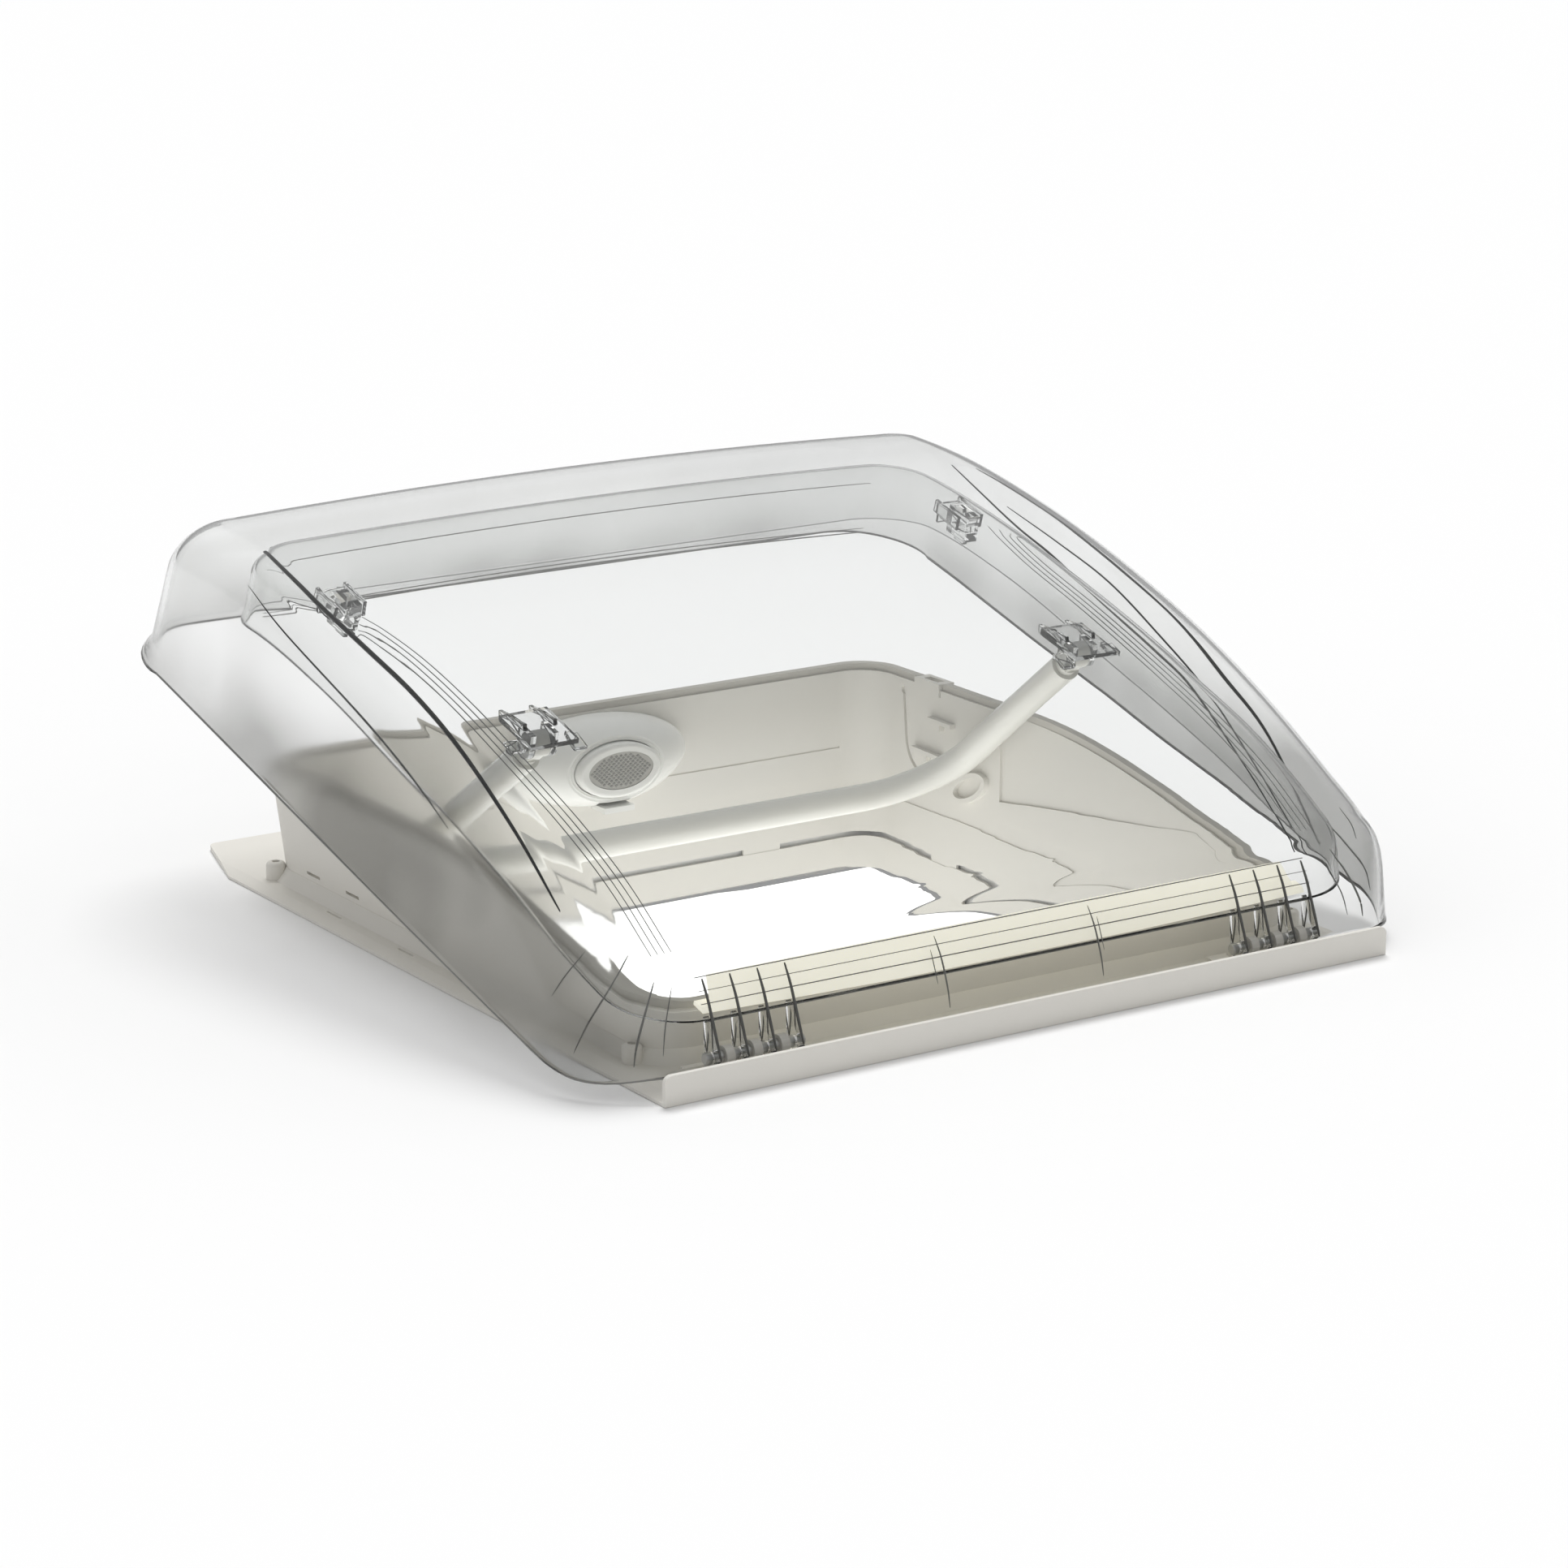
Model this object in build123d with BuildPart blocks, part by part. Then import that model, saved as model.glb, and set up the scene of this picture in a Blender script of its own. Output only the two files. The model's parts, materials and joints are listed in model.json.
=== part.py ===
"""Hinged roof vent for a caravan: a clear double-walled lid over a frame set in a square roof cut-out.

Frame: millimetres, +Z up, +X to the right, +Y towards the opening edge of the lid. The origin is the centre
of the roof cut-out, at the underside of the mounting flange. The lid hinges along the front, at -Y, and is
drawn closed, then turned open by REST_OPENING together with the bow that props it.
"""

from build123d import *
from math import asin, atan2, cos, degrees, hypot, radians, sin
import os

os.makedirs("parts", exist_ok=True)

# Roof cut-out and the shaft through it
CUT_OUT = 400.0
SHAFT = 395.0  # clear width inside the frame
SHAFT_CORNER_R = 22.0
LINER_GAP = 0.6  # between the liner and the roof cut-out, each side
LINER_TOP_Z = -8.0
LINER_BOTTOM_Z = -33.0
SLOT_HEIGHT = 3.5  # air slot under the liner
CEILING_BOTTOM_Z = -54.0

# Mounting flange and the upstand along its front edge
FLANGE_WIDTH = 450.0
FLANGE_FRONT_Y = -250.0
FLANGE_BACK_Y = 273.0
FLANGE_THICKNESS = 3.0
FLANGE_CORNER_R = 6.0
FLANGE_BEVEL = 8.0
FLANGE_BEVEL_DROP = 1.4
DRAIN_SLIT = (1.4, 16.0)  # through the plate beside the collar
UPSTAND_HEIGHT = 15.6
UPSTAND_THICKNESS = 2.7
UPSTAND_CORNER_R = 4.0
CHAMFER_SIDE = 60.0
CHAMFER_BACK = 18.0
SCREW_PITCH_X = 414.0  # rectangle of the four frame screws
SCREW_PITCH_Y = 380.0
SCREW_HOLE_R = 2.25

# Collar: a wedge-shaped ring, high at the back and low at the front
COLLAR_FOOT_HALF = 203.0
COLLAR_LEAN = 7.0  # degrees that the outer faces lean outwards
COLLAR_HIGH_Z = 67.0
COLLAR_MID_Z = 56.3
COLLAR_LOW_Z = 36.6
COLLAR_FRONT_Z = 27.5
COLLAR_CORNER_R = 26.0
COLLAR_REACH = 260.0  # the side view runs past the collar to here
COLLAR_LEVEL_Y = 34.0
COLLAR_SKIN = 2.6
SEAL_WIDTH = 5.0
SEAL_HEIGHT = 4.0
COVE = 7.0  # sloping foot round the collar
STEP_DEPTH = 1.5
GROOVE_WIDTH = 2.6
GROOVE_DEPTH = 1.6
BOSS_R = 5.5
BOSS_HEIGHT = 10.0
BOSS_DOME_R = 2.4

# Lid hinge and pose
HINGE_Y = -232.0
HINGE_Z = 13.5
HINGE_PIN_R = 3.0
RUNNING_GAP = 0.05
REST_OPENING = 14.3  # degrees, as drawn at rest
LUG_XS = (139.0, 155.0, 171.0, 187.0)
LUG_THICKNESS = 3.0
LUG_TOP_Z = 30.5
EAR_THICKNESS = 5.0
KNUCKLE_R = 5.0
BLOCK_FRONT_Y = -233.5  # the lid's rim swings past in front of this
BLOCK_DEPTH = 20.0
BLOCK_THICKNESS = 2.0

# Lid shells, closed
LID_HALF_WIDTH = 260.0
LID_FRONT_Y = -246.0
LID_BACK_Y = 285.5
LID_RIM_Z = 4.5
LID_WALL = 3.0
LID_DRAFT = 6.0
LID_FRONT_CORNER_R = 52.0
LID_BACK_CORNER_R = 48.0
LID_CROWN_R = 5200.0
PANE_HALF_WIDTH = 221.5
PANE_BACK_Y = 230.0
PANE_FRONT_Y = -226.0
PANE_WALL = 2.5
PANE_CORNER_R = 34.0
GLUE_GAP = 0.1  # between a lid shell and what is bonded to it
SHELF_Z = 57.0  # level flange that joins the two shells
SHELF_THICKNESS = 2.5
STRIP_HALF_LENGTH = 188.0  # L-section strip inside the inner shell's front wall

# Bow, at rest
PIVOT_X = 172.5
PIVOT_CLOSED_Y = -19.5
PIVOT_CLOSED_Z = 74.4
BOW_CORNER_X = 184.0
BOW_CORNER_Y = 110.0
BOW_CORNER_Z = 16.2
BOW_R = 8.25
BOW_BORE_R = 6.0
BOW_BEND_R = 48.0
BOW_CLOSED_Z = 14.0
EYE_R = 6.4
EYE_WIDTH = 9.0
BOW_PIN_R = 2.5
BOW_PIN_HEAD_R = 4.2
TUBE_START = 13.0  # from the pivot to the end of the tube
EAR_GAP = 0.6
EAR_WALL = 3.2
EAR_R = 6.5
BRACKET_PLATE = (28.0, 34.0, 10.0)
KEEPER_LENGTH = 26.0
KEEPER_HEIGHT = 10.0

# Button housing on the back wall
HOUSING_Z = 40.0
HOUSING_FRONT_Y = 166.0
HOUSING_SECTIONS = ((197.5, 63, 26), (184, 58, 25), (173, 45, 22.5), (166, 32.5, 19.5))  # Y and half axes
HOUSING_HOLLOW = ((197.5, 60, 23.5), (184, 55, 22.5), (173, 42, 20), (168.5, 30, 17.2))
PAD_RECESS = 2.0
PAD_THICKNESS = 1.6
BUTTON_HALF = (27.5, 16.0)
BUTTON_DEPTH = 15.0
BUTTON_PROUD = 6.0
BUTTON_TRAVEL = 4.0
BUTTON_GAP = 0.6
PAD_HALF = (21.5, 11.0)
TONGUE_Z = 17.0
TONGUE_TIP_Y = 162.5
TONGUE_WIDTH = 20.0
TONGUE_THICKNESS = 3.0
SPRING_R = 6.0
SPRING_PITCH = 3.2
SPRING_WIRE_R = 0.6
ROOTED_Y = (Align.CENTER, Align.MIN, Align.CENTER)

# Rear claws on the lid and their keepers on the collar
CLAW_X = 202.0
CLAW_Y = 137.0

INNER_FACE = SHAFT / 2
HINGE_AXIS = Axis((0, HINGE_Y, HINGE_Z), (1, 0, 0))


def turned_open(y, z, angle):
    """Where a point of the closed lid's side view stands once the lid is open by angle degrees."""
    dy = y - HINGE_Y
    dz = z - HINGE_Z
    c = cos(radians(angle))
    s = sin(radians(angle))
    return HINGE_Y + dy * c - dz * s, HINGE_Z + dy * s + dz * c


PIVOT_Y, PIVOT_Z = turned_open(PIVOT_CLOSED_Y, PIVOT_CLOSED_Z, REST_OPENING)
BOW_REACH = hypot(BOW_CORNER_Y - PIVOT_Y, BOW_CORNER_Z - PIVOT_Z)
BOW_REST_ANGLE = degrees(atan2(BOW_CORNER_Z - PIVOT_Z, BOW_CORNER_Y - PIVOT_Y))
BOW_CLOSED_ANGLE = degrees(asin((BOW_CLOSED_Z - PIVOT_CLOSED_Z) / BOW_REACH))
BOW_TURN = BOW_REST_ANGLE - BOW_CLOSED_ANGLE - REST_OPENING
print("pivot at rest", round(PIVOT_Y, 3), round(PIVOT_Z, 3), "bow per lid", round(BOW_TURN / REST_OPENING, 4))


def save(piece, name):
    """Labels a finished piece and writes it as one STEP file."""
    piece.part.label = name
    export_step(piece.part, f"parts/{name}.step")
    print(name, len(piece.part.solids()), "solids", round(piece.part.volume / 1000, 1), "cm3")


def save_open(piece, name):
    """Turns a piece of the closed lid to its rest opening, and writes it."""
    piece.part = piece.part.rotate(HINGE_AXIS, REST_OPENING)
    save(piece, name)


# ---------------------------------------------------------------- frame


def collar_side_view(rise):
    """Side view under the collar's top edge, lifted by rise, in the YZ plane from x = 0."""
    with BuildSketch(Plane.YZ) as view:
        with BuildLine():
            Line((-COLLAR_REACH, -5), (-COLLAR_REACH, COLLAR_FRONT_Z - 8 + rise))
            Line((-COLLAR_REACH, COLLAR_FRONT_Z - 8 + rise), (-212, COLLAR_FRONT_Z + rise))
            Spline(
                (-212, COLLAR_FRONT_Z + rise),
                (-160, COLLAR_LOW_Z + rise),
                (-64, COLLAR_MID_Z + rise),
                (COLLAR_LEVEL_Y, COLLAR_HIGH_Z + rise),
                tangents=((1, 0.17), (1, 0)),
            )
            Line((COLLAR_LEVEL_Y, COLLAR_HIGH_Z + rise), (COLLAR_REACH, COLLAR_HIGH_Z + rise))
            Line((COLLAR_REACH, COLLAR_HIGH_Z + rise), (COLLAR_REACH, -5))
            Line((COLLAR_REACH, -5), (-COLLAR_REACH, -5))
        make_face()
    return view.sketch


def collar_block(foot_z, outer_half, inner_half, inner_corner_r, rise):
    """A ring under the collar's top edge, from foot_z up, with leaning outer faces and upright inner ones."""
    with BuildPart() as block:
        with BuildSketch(Plane.XY.offset(foot_z)):
            RectangleRounded(2 * outer_half, 2 * outer_half, COLLAR_CORNER_R)
        extrude(amount=COLLAR_HIGH_Z + 20 - foot_z, taper=-COLLAR_LEAN)
        with BuildSketch(Plane.XY.offset(foot_z)):
            RectangleRounded(2 * inner_half, 2 * inner_half, inner_corner_r)
        extrude(amount=COLLAR_HIGH_Z + 20 - foot_z, mode=Mode.SUBTRACT)
        extrude(collar_side_view(rise), amount=300, both=True, mode=Mode.INTERSECT)
    return block.part


with BuildPart() as mounting_flange:
    with BuildSketch():
        with BuildLine():
            Polyline(
                (-FLANGE_WIDTH / 2, FLANGE_FRONT_Y),
                (FLANGE_WIDTH / 2, FLANGE_FRONT_Y),
                (FLANGE_WIDTH / 2, FLANGE_BACK_Y - CHAMFER_SIDE),
                (FLANGE_WIDTH / 2 - CHAMFER_BACK, FLANGE_BACK_Y),
                (CHAMFER_BACK - FLANGE_WIDTH / 2, FLANGE_BACK_Y),
                (-FLANGE_WIDTH / 2, FLANGE_BACK_Y - CHAMFER_SIDE),
                close=True,
            )
        make_face()
        RectangleRounded(CUT_OUT, CUT_OUT, SHAFT_CORNER_R, mode=Mode.SUBTRACT)
        with GridLocations(SCREW_PITCH_X, SCREW_PITCH_Y, 2, 2):
            Circle(SCREW_HOLE_R, mode=Mode.SUBTRACT)
    extrude(amount=FLANGE_THICKNESS)
    top_edges = mounting_flange.edges().group_by(Axis.Z)[-1].filter_by(Axis.Y)
    top_face = mounting_flange.faces().sort_by(Axis.Z)[-1]
    side_edges = (top_edges.sort_by(Axis.X)[0], top_edges.sort_by(Axis.X)[-1])
    chamfer(side_edges, FLANGE_BEVEL, FLANGE_BEVEL_DROP, reference=top_face)
    fillet(mounting_flange.edges().filter_by(Axis.Z).group_by(Axis.Y)[-1], FLANGE_CORNER_R)
    for side in (-1, 1):
        slit_x = side * (FLANGE_WIDTH / 2 - 12)
        with Locations((slit_x, 110, FLANGE_THICKNESS), (slit_x, 30, FLANGE_THICKNESS)):
            Box(*DRAIN_SLIT, 2.4, mode=Mode.SUBTRACT)
    with BuildSketch(Plane.XZ.offset(-FLANGE_FRONT_Y - UPSTAND_THICKNESS)):
        with Locations((0, UPSTAND_HEIGHT / 2)):
            Rectangle(FLANGE_WIDTH, UPSTAND_HEIGHT)
    extrude(amount=UPSTAND_THICKNESS)
    upper_corners = mounting_flange.edges().filter_by(Axis.Y).group_by(Axis.Z)[-1]
    fillet(upper_corners, UPSTAND_CORNER_R)
save(mounting_flange, "mounting_flange")

with BuildPart() as screw_bosses:
    with BuildSketch(Plane.XY.offset(FLANGE_THICKNESS)):
        with GridLocations(SCREW_PITCH_X, SCREW_PITCH_Y, 2, 2):
            Circle(BOSS_R)
            Circle(SCREW_HOLE_R, mode=Mode.SUBTRACT)
    extrude(amount=BOSS_HEIGHT)
    tops = screw_bosses.faces().group_by(Axis.Z)[-1]
    fillet([edge for face in tops for edge in face.outer_wire().edges()], BOSS_DOME_R)

with BuildPart() as boss_room:
    with BuildSketch(Plane.XY.offset(FLANGE_THICKNESS)):
        with GridLocations(SCREW_PITCH_X, SCREW_PITCH_Y, 2, 2):
            Circle(BOSS_R)
    extrude(amount=BOSS_HEIGHT)

with BuildPart() as keeper_room:
    with Locations((-CLAW_X, CLAW_Y, COLLAR_HIGH_Z), (CLAW_X, CLAW_Y, COLLAR_HIGH_Z)):
        Box(12, 26, 8)

collar_body = collar_block(FLANGE_THICKNESS, COLLAR_FOOT_HALF, INNER_FACE, SHAFT_CORNER_R, 0)
collar_hollow = collar_block(
    FLANGE_THICKNESS + 14, COLLAR_FOOT_HALF - 1.0, INNER_FACE + COLLAR_SKIN, SHAFT_CORNER_R, -COLLAR_SKIN
)

with BuildPart() as collar:
    add(collar_body)
    with BuildSketch(Plane.XY.offset(FLANGE_THICKNESS)):
        RectangleRounded(2 * (COLLAR_FOOT_HALF + COVE), 2 * (COLLAR_FOOT_HALF + COVE), COLLAR_CORNER_R + COVE)
    extrude(amount=COVE, taper=40)
    with BuildSketch(Plane.XY.offset(FLANGE_THICKNESS)):
        RectangleRounded(SHAFT, SHAFT, SHAFT_CORNER_R)
    extrude(amount=COVE + 1, mode=Mode.SUBTRACT)
    for side in (-1, 1):
        # The upper panel of each side wall lies deeper towards the front, above a sloping step.
        with BuildSketch(Plane.YZ.offset(side * INNER_FACE)):
            with BuildLine():
                Polyline((64, 13.8), (-118, 39), (-145, 32), (-175, 10), (-175, 90), (64, 90), close=True)
            make_face()
        step_cut = extrude(amount=side * 20, mode=Mode.PRIVATE)
        step_cut = step_cut.translate((side * (STEP_DEPTH - 20), 0, 0))
        add(step_cut.rotate(Axis((side * INNER_FACE, 64, 0), (0, 0, 1)), side * -0.4), mode=Mode.SUBTRACT)
        # A narrow groove near the back corner, with a round top.
        with BuildSketch(Plane.YZ.offset(side * INNER_FACE)):
            with BuildLine():
                Line((161.5, 60), (158.6, 31))
                Spline((158.6, 31), (154.5, 21), (146.6, 15.4))
            trace(line_width=GROOVE_WIDTH)
            with Locations((161.5, 60)):
                Circle(GROOVE_WIDTH)
        extrude(amount=side * GROOVE_DEPTH, mode=Mode.SUBTRACT)
        # Slots low in the outer face.
        with Locations(*[(side * (COLLAR_FOOT_HALF + 1), y, 14) for y in (24, 105, 150)]):
            Box(5, 15, 1.8, mode=Mode.SUBTRACT)
    # Parting line across the back wall.
    with Locations((0, INNER_FACE, 20)):
        Box(2 * (INNER_FACE - SHAFT_CORNER_R), 1.2, 0.9, mode=Mode.SUBTRACT)
    add(collar_hollow, mode=Mode.SUBTRACT)
    add(boss_room.part, mode=Mode.SUBTRACT)
    add(keeper_room.part, mode=Mode.SUBTRACT)
save(collar, "collar")
save(screw_bosses, "screw_bosses")

seal_half = INNER_FACE + 1.5 + SEAL_WIDTH
with BuildPart() as collar_seal:
    add(collar_block(FLANGE_THICKNESS, COLLAR_FOOT_HALF - 3.0, INNER_FACE + 1.5, SHAFT_CORNER_R, SEAL_HEIGHT))
    add(
        collar_block(FLANGE_THICKNESS - 5, COLLAR_FOOT_HALF + 20, INNER_FACE - 20, SHAFT_CORNER_R, 0),
        mode=Mode.SUBTRACT,
    )
    with BuildSketch(Plane.XY.offset(FLANGE_THICKNESS)):
        RectangleRounded(2 * seal_half, 2 * seal_half, COLLAR_CORNER_R)
    extrude(amount=COLLAR_HIGH_Z + 20, mode=Mode.INTERSECT)
    add(keeper_room.part, mode=Mode.SUBTRACT)
save(collar_seal, "collar_seal")

with BuildPart() as claw_keepers:
    with Locations((-CLAW_X, CLAW_Y, COLLAR_HIGH_Z), (CLAW_X, CLAW_Y, COLLAR_HIGH_Z)):
        Box(11, 25, 7.8)
        Box(5, 14, 5, align=(Align.CENTER, Align.CENTER, Align.MIN), mode=Mode.SUBTRACT)
save(claw_keepers, "claw_keepers")

liner_half = CUT_OUT / 2 - LINER_GAP
with BuildPart() as inner_liner:
    with BuildSketch(Plane.XY.offset(LINER_BOTTOM_Z)):
        RectangleRounded(2 * liner_half, 2 * liner_half, SHAFT_CORNER_R)
        RectangleRounded(SHAFT, SHAFT, SHAFT_CORNER_R - 2, mode=Mode.SUBTRACT)
    extrude(amount=FLANGE_THICKNESS - LINER_BOTTOM_Z)
    with BuildSketch(Plane.XY.offset(LINER_TOP_Z)):
        RectangleRounded(SHAFT + 1.4, SHAFT + 1.4, SHAFT_CORNER_R - 1)
        RectangleRounded(SHAFT - 10, SHAFT - 10, SHAFT_CORNER_R - 5, mode=Mode.SUBTRACT)
    extrude(amount=FLANGE_THICKNESS - LINER_TOP_Z, mode=Mode.SUBTRACT)
save(inner_liner, "inner_liner")

ceiling_top = LINER_BOTTOM_Z - SLOT_HEIGHT
with BuildPart() as ceiling_frame:
    with BuildSketch(Plane.XY.offset(CEILING_BOTTOM_Z)):
        RectangleRounded(2 * liner_half, 2 * liner_half, SHAFT_CORNER_R)
        RectangleRounded(SHAFT, SHAFT, SHAFT_CORNER_R - 2, mode=Mode.SUBTRACT)
    extrude(amount=ceiling_top - CEILING_BOTTOM_Z)
save(ceiling_frame, "ceiling_frame")

with BuildPart() as liner_clips:
    with BuildSketch(Plane.XY.offset(ceiling_top)):
        for x, y, width, depth in (
            (0, 1, 26, 1.6),
            (0, -1, 26, 1.6),
            (1, 0, 1.6, 26),
            (-1, 0, 1.6, 26),
        ):
            reach = liner_half - 0.8
            for shift in (-120, 120):
                with Locations((x * reach + abs(y) * shift, y * reach + abs(x) * shift)):
                    Rectangle(width, depth)
    extrude(amount=SLOT_HEIGHT)
save(liner_clips, "liner_clips")

# ---------------------------------------------------------------- side wall fittings

for side, name in ((-1, "bow_socket_left"), (1, "bow_socket_right")):
    wall_plane = Plane(origin=(side * INNER_FACE, 0, 0), x_dir=(0, 1, 0), z_dir=(side, 0, 0))
    flip = 1 if side > 0 else -1
    with BuildPart() as bow_socket:
        with BuildSketch(wall_plane.offset(-3.5)):
            with Locations(Location((92, flip * 16.5), flip * -26)):
                Ellipse(19, 8.5)
                Ellipse(15, 5.5, mode=Mode.SUBTRACT)
        extrude(amount=3.5)
    save(bow_socket, name)

with BuildPart() as wall_catches:
    for side in (-1, 1):
        for y, z, length in ((121, 48.5, 24), (135, 28.0, 28)):
            with Locations((side * (INNER_FACE - 1.75), y, z)):
                Box(3.5, length, 2.4)
            with Locations((side * (INNER_FACE - 1.75), y, z - 3)):
                Box(3.5, 2.0, 3.6)
save(wall_catches, "wall_catches")

# ---------------------------------------------------------------- hinge

for side, word in ((-1, "left"), (1, "right")):
    middle = side * sum(LUG_XS) / len(LUG_XS)
    ear_xs = [side * (a + b) / 2 for a, b in zip(LUG_XS, LUG_XS[1:])]
    span = LUG_XS[-1] - LUG_XS[0] + 14
    with BuildPart() as hinge_block:
        with Locations((middle, BLOCK_FRONT_Y, FLANGE_THICKNESS)):
            Box(span, BLOCK_DEPTH, BLOCK_THICKNESS, align=(Align.CENTER, Align.MIN, Align.MIN))
        for x in ear_xs:
            with BuildSketch(Plane.YZ.offset(x - EAR_THICKNESS / 2)):
                with Locations((HINGE_Y, HINGE_Z)):
                    Circle(KNUCKLE_R)
                with BuildLine():
                    Polyline(
                        (BLOCK_FRONT_Y, HINGE_Z),
                        (BLOCK_FRONT_Y, FLANGE_THICKNESS + 1),
                        (BLOCK_FRONT_Y + BLOCK_DEPTH, FLANGE_THICKNESS + 1),
                        (HINGE_Y + KNUCKLE_R, HINGE_Z),
                        close=True,
                    )
                make_face()
            extrude(amount=EAR_THICKNESS)
        with Locations(Location((middle, HINGE_Y, HINGE_Z), (0, 90, 0))):
            Cylinder(HINGE_PIN_R, span, mode=Mode.SUBTRACT)
    save(hinge_block, f"hinge_block_{word}")

    with BuildPart() as hinge_pin:
        with Locations(Location((middle, HINGE_Y, HINGE_Z), (0, 90, 0))):
            Cylinder(HINGE_PIN_R, span - 4)
        chamfer(hinge_pin.edges().filter_by(GeomType.CIRCLE), 0.6)
    save(hinge_pin, f"hinge_pin_{word}")

# ---------------------------------------------------------------- lid, drawn closed


def side_view(front, front_shoulder, crest, back_shoulder, back, floor_z):
    """Side view of a lid form in the YZ plane: an inclined front, a long arched top and a steep back."""
    with BuildSketch(Plane.YZ) as view:
        with BuildLine():
            Line(front, front_shoulder)
            Spline(front_shoulder, *crest, back_shoulder[0], tangents=((1, 0.62), (1, -0.32)))
            Line(back_shoulder[0], back_shoulder[1])
            Line(back_shoulder[1], back)
            Line(back, (back[0], floor_z))
            Line((back[0], floor_z), (front[0], floor_z))
            Line((front[0], floor_z), front)
        make_face()
    return view.sketch


def crowned_block(view, half_width, front_y, back_y, front_r, back_r):
    """The side view swept over the lid's crown, inside a plan with round corners that narrows upwards."""
    half_arc = degrees(asin((LID_HALF_WIDTH + 25) / LID_CROWN_R))
    crown_axis = Axis((0, 0, -LID_CROWN_R), (0, 1, 0))
    with BuildPart() as block:
        add(view.rotate(crown_axis, -half_arc))
        revolve(axis=crown_axis, revolution_arc=2 * half_arc)
        with BuildSketch(Plane.XY.offset(LID_RIM_Z - 20)) as plan:
            with Locations((0, (front_y + back_y) / 2)):
                Rectangle(2 * half_width, back_y - front_y)
            fillet(plan.vertices().group_by(Axis.Y)[0], front_r)
            fillet(plan.vertices().group_by(Axis.Y)[-1], back_r)
        extrude(amount=160, taper=LID_DRAFT, mode=Mode.INTERSECT)
    return block.part


def lid_form(inset):
    """The lid's outer form, closed, with every wall moved in by inset. It runs on below the rim."""
    view = side_view(
        (LID_FRONT_Y + 3 + inset, 15),
        (-210 + inset * 0.7, 55 - inset * 0.7),
        ((-111, 90.5 - inset), (31, 111 - inset), (160, 108 - inset)),
        ((250, 92 - inset), (273 - inset, 80 - inset)),
        (LID_BACK_Y - inset, LID_RIM_Z),
        LID_RIM_Z - 15,
    )
    widening = 20 * sin(radians(LID_DRAFT))
    return crowned_block(
        view,
        LID_HALF_WIDTH + widening - inset,
        LID_FRONT_Y - widening - inset,
        LID_BACK_Y + 6,
        LID_FRONT_CORNER_R,
        LID_BACK_CORNER_R,
    )


def rim_wedge():
    """What is cut away under the lid's rim: level, then rising towards the front so it clears the upstand."""
    with BuildPart() as wedge:
        with BuildSketch(Plane.YZ):
            with BuildLine():
                Polyline(
                    (-300, -60),
                    (-300, 14),
                    (LID_FRONT_Y, 13.5),
                    (-222, LID_RIM_Z),
                    (320, LID_RIM_Z),
                    (320, -60),
                    close=True,
                )
            make_face()
        extrude(amount=320, both=True)
    return wedge.part


def pane_form(inset):
    """The inner shell's form, closed, with every wall moved in by inset. It runs on below its skirt."""
    view = side_view(
        (PANE_FRONT_Y + inset, 32),
        (-206 + inset * 0.7, 50 - inset * 0.7),
        ((-131, 77 - inset), (-30, 90 - inset), (119, 93.5 - inset)),
        ((212, 88 - inset), (228 - inset, 80 - inset)),
        (PANE_BACK_Y - inset, 36),
        0,
    )
    widening = 20 * sin(radians(LID_DRAFT))
    half_width = PANE_HALF_WIDTH + widening + 6 - inset
    return crowned_block(view, half_width, -250, PANE_BACK_Y + 8, 30, PANE_CORNER_R)


LID_OUTSIDE = lid_form(0)
LID_INSIDE = lid_form(LID_WALL)
PANE_OUTSIDE = pane_form(0)
PANE_INSIDE = pane_form(PANE_WALL)
LID_ROOM = lid_form(LID_WALL + GLUE_GAP)
PANE_SEAT = pane_form(-GLUE_GAP)
PANE_ROOM = pane_form(PANE_WALL + GLUE_GAP)

with BuildPart() as lid_outer:
    add(LID_OUTSIDE)
    add(LID_INSIDE, mode=Mode.SUBTRACT)
    add(rim_wedge(), mode=Mode.SUBTRACT)
save_open(lid_outer, "lid_outer")

with BuildPart() as skirt_room:
    with BuildSketch(Plane.YZ):
        with BuildLine():
            Line((-300, -60), (-300, 31))
            Line((-300, 31), (-200, 31))
            Spline((-200, 31), (-150, 33), (-97, 40), (9, 47), (114, 52), (187, 48.6), (236, 40))
            Line((236, 40), (260, 40))
            Line((260, 40), (260, -60))
            Line((260, -60), (-300, -60))
        make_face()
    extrude(amount=320, both=True)

with BuildPart() as lid_inner:
    add(PANE_OUTSIDE)
    add(PANE_INSIDE, mode=Mode.SUBTRACT)
    add(skirt_room.part, mode=Mode.SUBTRACT)
    add(LID_INSIDE, mode=Mode.INTERSECT)
save_open(lid_inner, "lid_inner")

for side, word in ((-1, "left"), (1, "right")):
    with BuildPart() as hinge_lugs:
        for x in LUG_XS:
            with BuildSketch(Plane.YZ.offset(side * x - LUG_THICKNESS / 2)):
                with Locations((HINGE_Y, HINGE_Z)):
                    Circle(KNUCKLE_R)
                with BuildLine():
                    Polyline(
                        (HINGE_Y - KNUCKLE_R, HINGE_Z),
                        (LID_FRONT_Y, HINGE_Z + 2),
                        (LID_FRONT_Y, LUG_TOP_Z),
                        (PANE_FRONT_Y + 5, LUG_TOP_Z),
                        (HINGE_Y + KNUCKLE_R, HINGE_Z),
                        close=True,
                    )
                make_face()
            extrude(amount=LUG_THICKNESS)
        add(LID_ROOM, mode=Mode.INTERSECT)
        with Locations(Location((side * sum(LUG_XS) / len(LUG_XS), HINGE_Y, HINGE_Z), (0, 90, 0))):
            Cylinder(HINGE_PIN_R + RUNNING_GAP, 120, mode=Mode.SUBTRACT)
    save_open(hinge_lugs, f"hinge_lugs_{word}")

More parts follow.
